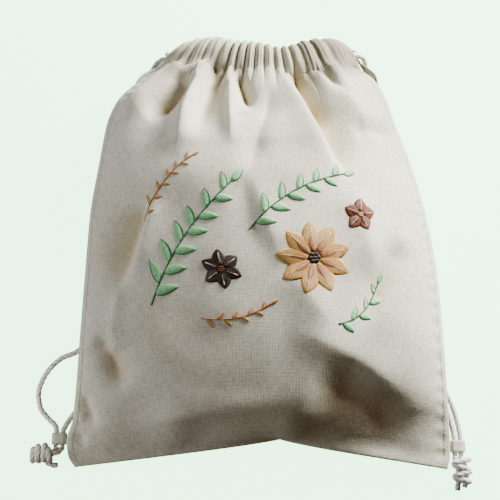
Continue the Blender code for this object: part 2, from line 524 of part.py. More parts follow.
def make_tape_loop(name, x, y, z, material):
    """A flat tape bent to a long loop, its hole along Y so that the two strands pass through."""
    turn = np.linspace(-math.pi / 2, math.pi / 2, 7)
    round_x = np.concatenate([np.cos(turn), -np.cos(turn)])
    round_z = np.concatenate([np.sin(turn), -np.sin(turn)])
    shift = np.concatenate([np.full(7, LOOP_HALF_LENGTH), np.full(7, -LOOP_HALF_LENGTH)])
    points = []
    for side in (-1, 1):
        for radius in (LOOP_RADIUS - TAPE / 2, LOOP_RADIUS + TAPE / 2):
            rim = np.stack([x + shift + radius * round_x,
                            np.full(14, y + side * TAPE_WIDTH / 2), z + radius * round_z], 1)
            points.extend(rim)
    faces = []
    for i in range(14):
        j = (i + 1) % 14
        faces.append((14 + i, 14 + j, j, i))
        faces.append((28 + j, 42 + j, 42 + i, 28 + i))
        faces.append((j, 28 + j, 28 + i, i))
        faces.append((42 + i, 42 + j, 14 + j, 14 + i))
    return add_object(name, points, faces, material)


def tube_mesh(path, closed):
    """A round tube of the cord's thickness along a path, with flat ends unless it is a ring."""
    count = len(path)
    if closed:
        along = np.roll(path, -1, axis=0) - np.roll(path, 1, axis=0)
    else:
        along = np.gradient(path, axis=0)
    along /= np.linalg.norm(along, axis=1)[:, None]
    flattest = np.linalg.svd(path - path.mean(axis=0))[2][2]
    side = np.cross(along, flattest)
    side /= np.linalg.norm(side, axis=1)[:, None]
    other = np.cross(along, side)
    angle = np.arange(KNOT_SIDES) * 2 * math.pi / KNOT_SIDES
    ring = (np.cos(angle)[None, :, None] * side[:, None] + np.sin(angle)[None, :, None] * other[:, None])
    points = (path[:, None] + ring * CORD / 2).reshape(-1, 3)
    faces = []
    for i in range(count if closed else count - 1):
        for k in range(KNOT_SIDES):
            a, b = i * KNOT_SIDES, (i + 1) % count * KNOT_SIDES
            n = (k + 1) % KNOT_SIDES
            faces.append((a + k, a + n, b + n, b + k))
    if not closed:
        faces.append(tuple(range(KNOT_SIDES))[::-1])
        faces.append(tuple(range(len(points) - KNOT_SIDES, len(points))))
    return points, faces


def wrap_path(x, y, z, half_width, half_height, turn, tilt):
    """A strand's round trip about the knot: an oval across the Y axis, turned about Z and tilted."""
    angle = np.arange(KNOT_RING_STEPS) * 2 * math.pi / KNOT_RING_STEPS
    oval = np.stack([half_width * np.cos(angle), 0 * angle, half_height * np.sin(angle)], 1)
    oval[:, 1] += math.tan(math.radians(tilt)) * oval[:, 0]
    turn = math.radians(turn)
    turned = np.stack([oval[:, 0] * math.cos(turn) - oval[:, 1] * math.sin(turn),
                       oval[:, 0] * math.sin(turn) + oval[:, 1] * math.cos(turn), oval[:, 2]], 1)
    return turned + (x, y, z)


def make_knot(name, tails, wraps, material):
    pieces = [tube_mesh(smooth_path(tail, 2), False) for tail in tails]
    pieces += [tube_mesh(wrap_path(*wrap), True) for wrap in wraps]
    knot = add_object(name, *pieces[0], material)
    for number, (points, faces) in enumerate(pieces[1:]):
        piece = add_object(f"{name}_strand_{number}", points, faces, material)
        piece.hide_render = True
        piece.display_type = "WIRE"
        union = knot.modifiers.new("union", "BOOLEAN")
        union.operation = "UNION"
        union.solver = "EXACT"
        union.object = piece
    return knot


FRONT = {
    "sections": FRONT_SECTIONS, "heading": FRONT_HEADING, "set_out": FRONT_SET_OUT,
    "gathers": FRONT_GATHERS, "folds": FRONT_FOLDS, "channel": CHANNEL_FRONT, "facing": 1,
    "rows": (0, 0.02, 0.04, 0.065, 0.095, 0.12, 0.14, 0.165, 0.20, 0.24, 0.285, 0.33, 0.37, 0.41, 0.45, 0.49,
             0.53, 0.57, 0.61, 0.65, 0.69, 0.73, 0.77, 0.81, 0.845, 0.875, 0.90, 0.925, 0.95, 0.975, 1),
    "coarse_rows": 16,
}
BACK = {
    "sections": BACK_SECTIONS, "heading": BACK_HEADING, "set_out": BACK_SET_OUT,
    "gathers": BACK_GATHERS, "folds": BACK_FOLDS, "channel": CHANNEL_BACK, "facing": -1,
    "rows": (0, 0.02, 0.04, 0.065, 0.095, 0.13, 0.17, 0.22, 0.28, 0.35, 0.42, 0.49, 0.56, 0.63, 0.70,
             0.76, 0.81, 0.85, 0.89, 0.93, 0.965, 1),
    "coarse_rows": 16,
}


def clear_scene():
    for item in list(bpy.data.objects):
        bpy.data.objects.remove(item, do_unlink=True)


def main():
    clear_scene()
    cloth = make_material("natural_cotton_linen", (0.66, 0.64, 0.58), 0.9)
    make_panel("front_panel", FRONT, cloth)
    make_panel("back_panel", BACK, cloth)
    cotton = make_material("twisted_cotton_cord", (0.74, 0.72, 0.67), 0.9)
    make_cord("cord_left", LEFT_CORD, cotton)
    make_cord("cord_right", RIGHT_CORD, cotton)
    make_knot("knot_left", LEFT_KNOT_TAILS, LEFT_KNOT_WRAPS, cotton)
    make_knot("knot_right", RIGHT_KNOT_TAILS, RIGHT_KNOT_WRAPS, cotton)
    tape = make_material("cotton_tape", (0.72, 0.70, 0.64), 0.9)
    for name, x, y, z in TAPE_LOOPS:
        make_tape_loop(name, x, y, z, tape)


main()
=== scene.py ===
# A drawstring bag of natural cotton and linen cloth, lying filled on a pale floor.
# X runs to the bag's right, Y towards its mouth and Z up. Tables and routes are in millimetres,
# measured from a point near the middle of the front, as the bag's pattern is; inMetres moves them
# to the frame.
import bpy
import math
import numpy as np
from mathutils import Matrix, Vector


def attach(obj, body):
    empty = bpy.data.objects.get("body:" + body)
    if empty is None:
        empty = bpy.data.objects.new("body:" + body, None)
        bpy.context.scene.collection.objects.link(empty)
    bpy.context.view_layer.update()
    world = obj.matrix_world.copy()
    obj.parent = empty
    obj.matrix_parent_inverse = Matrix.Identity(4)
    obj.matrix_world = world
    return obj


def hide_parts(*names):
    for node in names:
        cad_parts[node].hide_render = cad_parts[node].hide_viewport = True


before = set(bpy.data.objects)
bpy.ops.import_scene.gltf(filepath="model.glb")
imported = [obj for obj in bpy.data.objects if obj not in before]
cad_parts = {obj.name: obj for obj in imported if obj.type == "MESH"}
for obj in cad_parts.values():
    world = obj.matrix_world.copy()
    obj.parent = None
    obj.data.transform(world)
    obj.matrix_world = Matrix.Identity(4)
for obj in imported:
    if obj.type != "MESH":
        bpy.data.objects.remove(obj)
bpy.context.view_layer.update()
print("frame loaded:", sorted(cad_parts))

mm = 0.001
patternMiddle = (-0.65, 16.6, 0.0)


# small helpers
def inMetres(points):
    return (np.asarray(points, float) - patternMiddle) * mm


def newObject(name, data):
    thing = bpy.data.objects.new(name, data)
    bpy.context.scene.collection.objects.link(thing)
    return thing


def linear(hexColour):
    # sRGB hex to linear light, one channel at a time
    channels = [int(hexColour[i:i + 2], 16) / 255 for i in (1, 3, 5)]
    return tuple(c / 12.92 if c <= 0.04045 else ((c + 0.055) / 1.055) ** 2.4
                 for c in channels) + (1.0,)


def ease(t):
    t = np.clip(t, 0, 1)
    return t * t * (3 - 2 * t)


def runAlong(line):
    # how far along a line each of its points lies
    return np.concatenate([[0], np.cumsum(np.linalg.norm(np.diff(line, axis=0), axis=1))])


def bentLine(start, bend, end, steps):
    # a quadratic curve from start to end that leans towards bend
    start, bend, end = np.array((start, bend, end), float)
    t = np.linspace(0, 1, steps)[:, None]
    return start * (1 - t) ** 2 + 2 * bend * t * (1 - t) + end * t ** 2


# camera
# widthSeen is what the picture's width takes in at the target; the shifts are shares of that
# width; near and far are in metres
cameraView = {
    "target": (0, 0, 45), "elevation": 75.0, "distance": 1100.0, "widthSeen": 490.0,
    "shiftX": -0.018, "shiftY": 0.016, "sensor": 36.0, "near": 0.05, "far": 20.0,
}


def makeCamera(view):
    # stands at distance from the target, tipped back from straight above, and looks at it
    rise = math.radians(view["elevation"])
    away = Vector((0, -math.cos(rise), math.sin(rise))) * view["distance"] * mm
    data = bpy.data.cameras.new("camera")
    data.sensor_width = view["sensor"]
    data.lens = view["sensor"] * view["distance"] / view["widthSeen"]
    data.shift_x, data.shift_y = view["shiftX"], view["shiftY"]
    data.clip_start, data.clip_end = view["near"], view["far"]
    camera = newObject("camera", data)
    camera.location = Vector(inMetres(view["target"])) + away
    camera.rotation_euler = (math.pi / 2 - rise, 0, 0)
    bpy.context.scene.camera = camera


makeCamera(cameraView)


# materials and meshes
mixed = {"data_type": "RGBA"}
multiplied = {"data_type": "RGBA", "blend_type": "MULTIPLY"}
waveRepeat = 3.18  # bands that a wave texture has to the unit, 20 / (2 pi)


def setInputs(tree, node, inputs):
    # an input, by its name or by i and its number, is a value or is linked from an output
    for name, value in inputs.items():
        key = int(name[1:]) if name[0] == "i" and name[1:].isdigit() else name.replace("_", " ")
        if isinstance(value, bpy.types.NodeSocket):
            tree.links.new(value, node.inputs[key])
        else:
            node.inputs[key].default_value = value


def addNode(tree, kind, settings=(), out=0, **inputs):
    # one node with its settings (stops are a colour ramp's) and inputs; gives its output out
    node = tree.nodes.new("ShaderNode" + kind)
    for name, value in dict(settings).items():
        if name == "stops":
            for element, (place, colour) in zip(node.color_ramp.elements, value):
                element.position, element.color = place, linear(colour)
        else:
            setattr(node, name, value)
    setInputs(tree, node, inputs)
    return node.outputs[out]


def newMaterial(name):
    material = bpy.data.materials.new(name)
    material.use_nodes = True
    return material, material.node_tree, material.node_tree.nodes["Principled BSDF"]


def setSurface(tree, shader, look, colour, relief):
    # a thread's colour, shine and relief: a bump of reliefHeight mm
    bump = addNode(tree, "Bump", Strength=look["relief"], Distance=look["reliefHeight"] * mm,
                   Height=relief)
    setInputs(tree, shader, {
        "Base Color": colour, "Roughness": look["roughness"], "Sheen Weight": look["sheen"],
        "Specular IOR Level": look["specular"], "Normal": bump})


def makeMesh(name, points, faces, material, uv, attributes=None):
    # points in mm; uv in mm for each point; attributes are name: value for each point
    mesh = bpy.data.meshes.new(name)
    mesh.from_pydata(inMetres(points).tolist(), [], faces)
    mesh.update()
    mesh.polygons.foreach_set("use_smooth", np.ones(len(mesh.polygons), bool))
    corner = np.empty(len(mesh.loops), np.int32)
    mesh.loops.foreach_get("vertex_index", corner)
    layer = mesh.uv_layers.new(name="threads")
    layer.data.foreach_set("uv", np.asarray(uv, np.float32)[corner].ravel())
    for key, values in (attributes or {}).items():
        field = mesh.attributes.new(key, "FLOAT", "POINT")
        field.data.foreach_set("value", np.asarray(values, np.float32).ravel())
    mesh.materials.append(material)
    return newObject(name, mesh)


def tubeFaces(rings, sides, closed, first):
    # quads from each ring to the next, and a cap on both ends unless the tube closes on itself
    i, k = np.arange(rings if closed else rings - 1)[:, None], np.arange(sides)[None]
    after, beside = (i + 1) % rings, (k + 1) % sides
    quads = np.stack(np.broadcast_arrays(i * sides + k, i * sides + beside,
                                         after * sides + beside, after * sides + k), -1)
    faces = (quads.reshape(-1, 4) + first).tolist()
    if not closed:
        last = first + (rings - 1) * sides
        faces += [list(range(first, first + sides))[::-1], list(range(last, last + sides))]
    return faces


def makeTubes(name, tubes, material, attributes=None):
    # one mesh of tubes; each has its points and its threads ring by ring, and may be closed
    faces, count = [], 0
    for grid, _, closed in tubes:
        faces += tubeFaces(*grid.shape[:2], closed, count)
        count += grid.shape[0] * grid.shape[1]
    points = np.concatenate([grid.reshape(-1, 3) for grid, _, _ in tubes])
    uv = np.concatenate([threads.reshape(-1, 2) for _, threads, _ in tubes])
    return makeMesh(name, points, faces, material, uv, attributes)


# cords
# the routes are the pattern's own points: from the knot beside the bag, out of sight beneath it,
# through one channel, round into the other and back down
cordLook = {
    "diameter": 5.5, "strands": 3, "pitch": 17.0, "grooveDepth": 0.2, "grooveRound": 0.8,
    "sides": 24, "ringStep": 1.5, "curveSteps": 24,
    "colourHigh": "#F4F1E8", "paintedGrooveShade": "#BDB8AA", "worn": "#C9C2B0", "wear": 0.35,
    "roughness": 0.92, "sheen": 0.2, "specular": 0.5, "relief": 0.5, "reliefHeight": 0.4,
    "yarnPitch": 1.1, "yarnSlant": 28.0, "fuzzScale": 0.9,
    "rightRoute": (
        (196.3, -188.6, 4.7), (196.3, -179, 4.6), (196.3, -170, 4.5), (194.2, -155, 2.95),
        (189.5, -138, 2.85), (181.5, -120, 2.85), (173, -98, 2.85), (167, -70, 2.85),
        (163, -35, 2.85), (160, 0, 2.85), (154, 40, 2.85), (145.5, 80, 2.85), (139.5, 104, 3.0),
        (136.5, 116, 4.5), (135, 126, 8.5), (134, 136, 16), (133.5, 146.5, 25.5), (131, 155.5, 32),
        (124, 166.5, 35.6), (117, 176, 35.6), (111.3, 186, 36), (106.8, 196, 37.6),
        (102.3, 203.9, 41), (95.7, 208.1, 43.5), (88.5, 209.4, 45.4), (73, 208.7, 52.9),
        (48, 203.8, 61.1), (23, 200.6, 64.5), (0, 205.6, 64.5), (-24, 209.2, 62),
        (-47, 215.2, 56.6), (-68, 217.8, 50.2), (-82, 217, 44.2), (-89, 217.6, 41.8),
        (-94.5, 220, 37.5), (-94.4, 223.5, 32.4), (-91, 224, 27.7), (-83, 221.8, 24),
        (-71, 218.8, 17.6), (-50, 214.8, 9.8), (-26, 211.9, 6.9), (0, 210, 6.5), (27, 209.5, 6.4),
        (54, 210.8, 8.9), (80, 216.1, 15.8), (94, 219.8, 26.3), (99.5, 221, 29.3),
        (104.9, 221.9, 30), (110.2, 219, 26.2), (113, 208, 18.5), (114, 193, 14.5),
        (115.5, 178, 10.5), (117.5, 160, 6.5), (120.5, 140, 4), (124.5, 120, 2.95),
        (129.5, 100, 2.85), (137, 75, 2.85), (147.5, 40, 2.85), (153.5, 0, 2.85),
        (156.5, -35, 2.85), (160, -70, 2.85),
        (166.5, -98, 2.85), (175.5, -121, 2.85), (183.3, -140, 2.85), (188, -155, 2.95),
        (190.4, -170, 4.5), (190.4, -179, 4.6), (190.4, -188.6, 4.7),
    ),
    "leftRoute": (
        (-191.7, -178.4, 4.7), (-191.7, -171, 4.6), (-191.2, -163.5, 4.4), (-185.5, -152.5, 2.95),
        (-176.5, -140, 2.85), (-168.5, -125, 2.85), (-162.5, -100, 2.85), (-157.5, -60, 2.85),
        (-154, -20, 2.85), (-151.5, 20, 2.85), (-148, 60, 2.85), (-142, 95, 2.85), (-137, 118, 3.0),
        (-132.5, 140, 4.2), (-128, 160, 7), (-123, 178, 11), (-119, 191, 15.5), (-114.5, 203, 21),
        (-109, 212, 26.5), (-103, 217, 30), (-96.5, 218, 31), (-89, 216.5, 28.2),
        (-75, 213, 18.8), (-52, 209.4, 12.8), (-26, 207.6, 12), (0, 207.4, 12.1), (26, 208.9, 12.1),
        (52, 213.7, 14.7), (76, 221, 19.6), (90, 225.5, 27), (97.3, 226, 31), (100.8, 222.7, 36.2),
        (98, 218, 41.3), (91, 216, 43.7), (84, 215.6, 45.3), (69, 214.7, 51), (45, 207.7, 55.6),
        (23, 201.4, 58.4), (-1, 204.5, 58.3), (-24, 206.5, 56.4), (-48, 210, 52.7),
        (-71, 210.6, 48.3), (-88, 210, 43.7), (-94.6, 209.8, 42.3), (-101.2, 206, 39.8),
        (-107.5, 199, 37.3), (-114, 192, 36), (-121, 184, 35), (-128, 175.5, 34.8),
        (-135, 169.7, 35.3), (-142, 164.5, 34.2), (-148, 157.5, 30), (-150.5, 149, 23.5),
        (-151, 139.5, 15.5), (-150.5, 129, 8.5), (-150.2, 118, 4), (-151.5, 100, 2.85),
        (-155.5, 60, 2.85), (-158.5, 20, 2.85), (-161, -20, 2.85), (-163.5, -50, 2.85),
        (-169, -70, 2.85), (-181, -85, 2.85), (-197, -92.5, 2.85), (-210, -106, 2.85),
        (-217.3, -124, 2.85), (-215, -141, 2.85), (-207, -151.5, 3.0), (-199.2, -159, 4.2),
        (-197.6, -166.5, 4.6), (-197.6, -178.4, 4.7),
    ),
    "rightLength": 1.279, "leftLength": 1.294,
}


def evenPath(path, step):
    # the same line at points a step apart
    run = runAlong(path)
    marks = np.linspace(0, run[-1], max(3, int(run[-1] / step) + 1))
    return np.stack([np.interp(marks, run, path[:, k]) for k in range(3)], 1)


def smoothPath(route, curveSteps, step):
    # a curve through every point of the route (Catmull-Rom), at points a step apart
    route = np.array(route, float)
    knots = np.concatenate([2 * route[:1] - route[1:2], route, 2 * route[-1:] - route[-2:-1]])
    p0, p1, p2, p3 = (p[:, None] for p in (knots[:-3], knots[1:-2], knots[2:-1], knots[3:]))
    t = np.linspace(0, 1, curveSteps, endpoint=False)[None, :, None]
    curve = 0.5 * (2 * p1 + (p2 - p0) * t + (2 * p0 - 5 * p1 + 4 * p2 - p3) * t ** 2
                   + (3 * p1 - p0 - 3 * p2 + p3) * t ** 3)
    return evenPath(np.concatenate([curve.reshape(-1, 3), route[-1:]]), step)


def carriedFrames(path, closed):
    # two directions across the path at each point, carried along it without turning about it
    along = np.gradient(path, axis=0)
    if closed:
        along = np.roll(path, -1, axis=0) - np.roll(path, 1, axis=0)
    along /= np.linalg.norm(along, axis=1)[:, None]
    start = np.cross(along[0], np.eye(3)[np.argmin(np.abs(along[0]))])
    side = np.zeros_like(path)
    side[0] = start / np.linalg.norm(start)
    for i in range(1, len(path)):  # one step for each ring: each depends on the one before
        turned = side[i - 1] - along[i] * (side[i - 1] @ along[i])
        side[i] = turned / np.linalg.norm(turned)
    return side, np.cross(along, side)


def ropeTube(path, look, closed):
    # A twisted cord along a path. Around it the radius is that of round strands side by side,
    # R * (1 - depth + depth * |cos(strands / 2 * angle)| ** round), and the angle turns with
    # the run. Also gives how high each point stands on its strand.
    radius, strands, depth = look["diameter"] / 2, look["strands"], look["grooveDepth"]
    side, other = carriedFrames(path, closed)
    run = runAlong(np.concatenate([path, path[:1]]) if closed else path)
    turns = run[-1] / look["pitch"]
    if closed:  # a ring closes on a whole strand
        turns = round(turns * strands) / strands
    twist = (2 * math.pi * turns * run[:len(path)] / run[-1])[:, None]
    angle = (np.arange(look["sides"]) * 2 * math.pi / look["sides"])[None]
    lobe = np.abs(np.cos(strands / 2 * (angle - twist)))
    distance = radius * (1 - depth + depth * lobe ** look["grooveRound"])
    points = path[:, None] + distance[..., None] * (
        np.cos(angle)[..., None] * side[:, None] + np.sin(angle)[..., None] * other[:, None])
    uv = np.stack(np.broadcast_arrays((angle - twist) * radius, run[:len(path), None]), -1)
    return (points, uv, closed), lobe.ravel()


def makeRope(name, paths, look, material):
    # one mesh of several lengths of cord; paths are (points, closed)
    tubes, heights = zip(*(ropeTube(path, look, closed) for path, closed in paths))
    return makeTubes(name, tubes, material, {"strandHeight": np.concatenate(heights)})


def twistedCottonCord(look):
    # Twisted cotton cord: matt, off-white strands, with brownish painted shade towards the grooves
    # between them, and fine yarns that run with each strand. Yarns are 0.7 mm apart, drawn at
    # yarnPitch to show.
    material, tree, shader = newMaterial("twistedCottonCord")
    threads = addNode(tree, "UVMap", {"uv_map": "threads"})
    height = addNode(tree, "Attribute", {"attribute_name": "strandHeight"}, "Fac")
    slanted = addNode(tree, "Mapping", Vector=threads,
                      Rotation=(0, 0, math.radians(look["yarnSlant"])))
    yarns = addNode(tree, "TexWave", out="Fac", Vector=slanted, Distortion=1.2, Detail=1.0,
                    Scale=1 / look["yarnPitch"] / waveRepeat)
    fuzz = addNode(tree, "TexNoise", Vector=threads, Scale=look["fuzzScale"], Detail=4.0)
    # painted shade: each strand's colour darkens towards the grooves between strands
    base = addNode(tree, "ValToRGB", {
        "stops": ((0.12, look["paintedGrooveShade"]), (0.62, look["colourHigh"]))}, Fac=height)
    worn = addNode(tree, "ValToRGB", {"stops": ((0.3, look["worn"]), (0.7, "#FFFFFF"))}, Fac=fuzz)
    colour = addNode(tree, "Mix", multiplied, 2, i0=look["wear"], i6=base, i7=worn)
    relief = addNode(tree, "Math", {"operation": "ADD"}, i0=yarns, i1=fuzz)
    setSurface(tree, shader, look, colour, relief)
    return material


cordMaterial = twistedCottonCord(cordLook)
rightPath, leftPath = (smoothPath(cordLook[route], cordLook["curveSteps"], cordLook["ringStep"])
                       for route in ("rightRoute", "leftRoute"))
rightCord = makeRope("rightDrawcord", [(rightPath, False)], cordLook, cordMaterial)
leftCord = makeRope("leftDrawcord", [(leftPath, False)], cordLook, cordMaterial)
print("cords made:", len(rightPath), "and", len(leftPath), "rings")


# knots
# each knot ties the cord's two ends: tails that run through it, and wraps round them
# wraps: centre x y z, half widths across and up, turn about Z and tilt in degrees
knotLook = {
    "ringStep": 0.9, "curveSteps": 12, "wrapSteps": 48,
    "rightTails": (
        ((196.3, -189.1, 4.7), (196.3, -192, 4.9), (198.9, -198, 6.8), (200.2, -205, 6.4),
         (199.8, -213, 4.2), (198.6, -218, 3.0)),
        ((190.4, -189.1, 4.7), (190.6, -192, 4.9), (192.4, -198, 6.8), (192.6, -206, 6.2),
         (192.5, -214, 4.0), (191.4, -221, 2.95)),
    ),
    "rightWraps": ((195.7, -193.9, 8.0, 7.5, 4.9, 8, 8), (195.9, -199.8, 8.0, 7.2, 4.8, -12, -8),
                   (196.3, -205.5, 7.6, 7.4, 4.6, 10, 6), (196.0, -211.3, 7.0, 6.9, 4.0, -8, -6)),
    "leftTails": (
        ((-191.8, -178.9, 4.7), (-192, -181.2, 5.0), (-196.5, -185.5, 8), (-206, -183.5, 9.5),
         (-214, -182, 8.2), (-219, -185.5, 6.2), (-218, -191, 4.2), (-211.5, -193, 3.4)),
        ((-197.5, -178.9, 4.7), (-198, -181.5, 4.7), (-200, -185.5, 4.9), (-205, -188.5, 5),
         (-206.5, -193, 3.8), (-201.5, -196.5, 3), (-195.5, -197, 2.95)),
    ),
    "leftWraps": ((-208.0, -185.3, 7.9, 7.2, 4.8, 80, 6), (-214.2, -186.0, 7.7, 6.8, 4.7, 96, -6),
                  (-203.6, -187.4, 7.7, 6.0, 4.7, 97, 5), (-219.0, -187.6, 7.0, 5.8, 4.1, 84, 4)),
}


def wrapPath(x, y, z, halfWidth, halfHeight, turn, tilt):
    # an oval round the strands: it stands across Y, is sheared by its tilt and turned about Z
    angle = np.arange(knotLook["wrapSteps"]) * 2 * math.pi / knotLook["wrapSteps"]
    across, turn = halfWidth * np.cos(angle), math.radians(turn)
    along = math.tan(math.radians(tilt)) * across
    return np.stack([across * math.cos(turn) - along * math.sin(turn),
                     across * math.sin(turn) + along * math.cos(turn),
                     halfHeight * np.sin(angle)], 1) + (x, y, z)


def makeKnot(name, tails, wraps):
    paths = [(smoothPath(tail, knotLook["curveSteps"], knotLook["ringStep"]), False)
             for tail in tails]
    paths += [(wrapPath(*wrap), True) for wrap in wraps]
    return makeRope(name, paths, cordLook, cordMaterial)


rightKnot = makeKnot("rightKnot", knotLook["rightTails"], knotLook["rightWraps"])
leftKnot = makeKnot("leftKnot", knotLook["leftTails"], knotLook["leftWraps"])
print("knots made")


# tape loops
# centre of each loop; the tape's straight half length, the radius of its round ends, its width
# and thickness; section goes round the tape in (half widths, half thicknesses), and its point
# topPoint is the middle of the outer face
tapeLook = {
    "left": (-194.65, -171.5, 4.6), "right": (193.35, -179.0, 4.6),
    "halfLength": 3.1, "radius": 3.85, "width": 11.0, "thickness": 1.2, "endSteps": 20,
    "section": ((-1, 0), (-0.98, 0.6), (-0.9, 1), (-0.5, 1), (0, 1), (0.5, 1), (0.9, 1),
                (0.98, 0.6), (1, 0), (0.98, -0.6), (0.9, -1), (0.5, -1), (0, -1), (-0.5, -1),
                (-0.9, -1), (-0.98, -0.6)), "topPoint": 4,
    "colour": "#DAD6C8", "colourRib": "#B9B3A2", "ribPitch": 1.3, "roughness": 0.9,
    "sheen": 0.2, "specular": 0.5, "relief": 0.6, "reliefHeight": 0.4,
}


def herringboneTape(look):
    # Woven cotton tape: matt and off-white, with ribs that slant from the middle to each edge.
    # Its ribs are 0.6 mm apart, drawn at ribPitch to show.
    material, tree, shader = newMaterial("herringboneCottonTape")
    threads = addNode(tree, "UVMap", {"uv_map": "threads"})
    along = addNode(tree, "SeparateXYZ", Vector=threads)
    half = addNode(tree, "Math", {"operation": "ABSOLUTE"}, i0=along.node.outputs["Y"])
    slant = addNode(tree, "Math", {"operation": "ADD"}, i0=along, i1=half)
    turn = addNode(tree, "Math", {"operation": "MULTIPLY"}, i0=slant,
                   i1=2 * math.pi / look["ribPitch"])
    rib = addNode(tree, "Math", {"operation": "SINE"}, i0=turn)
    level = addNode(tree, "MapRange", i0=rib, i1=-1.0, i2=1.0)
    colour = addNode(tree, "ValToRGB", {
        "stops": ((0.0, look["colourRib"]), (0.6, look["colour"]))}, Fac=level)
    setSurface(tree, shader, look, colour, level)
    return material


def makeTapeLoop(name, centre, look, material):
    # the tape's section carried round a long ring: a half turn, a straight, and the same again
    turn = np.linspace(-math.pi / 2, math.pi / 2, look["endSteps"])
    ringX = np.concatenate([np.cos(turn), -np.cos(turn)])[:, None]
    ringZ = np.concatenate([np.sin(turn), -np.sin(turn)])[:, None]
    shift = np.repeat([look["halfLength"], -look["halfLength"]], look["endSteps"])[:, None]
    across, lift = np.array(look["section"], float).T
    radius = look["radius"] + lift[None] * look["thickness"] / 2
    y = across[None] * look["width"] / 2
    points = np.stack(np.broadcast_arrays(centre[0] + shift + radius * ringX, centre[1] + y,
                                          centre[2] + radius * ringZ), -1)
    run = runAlong(points[:, look["topPoint"]])
    uv = np.stack(np.broadcast_arrays(run[:, None], y), -1)
    return makeTubes(name, [(points, uv, True)], material)


tapeMaterial = herringboneTape(tapeLook)
leftTab = makeTapeLoop("leftTapeLoop", tapeLook["left"], tapeLook, tapeMaterial)
rightTab = makeTapeLoop("rightTapeLoop", tapeLook["right"], tapeLook, tapeMaterial)
print("tape loops made")


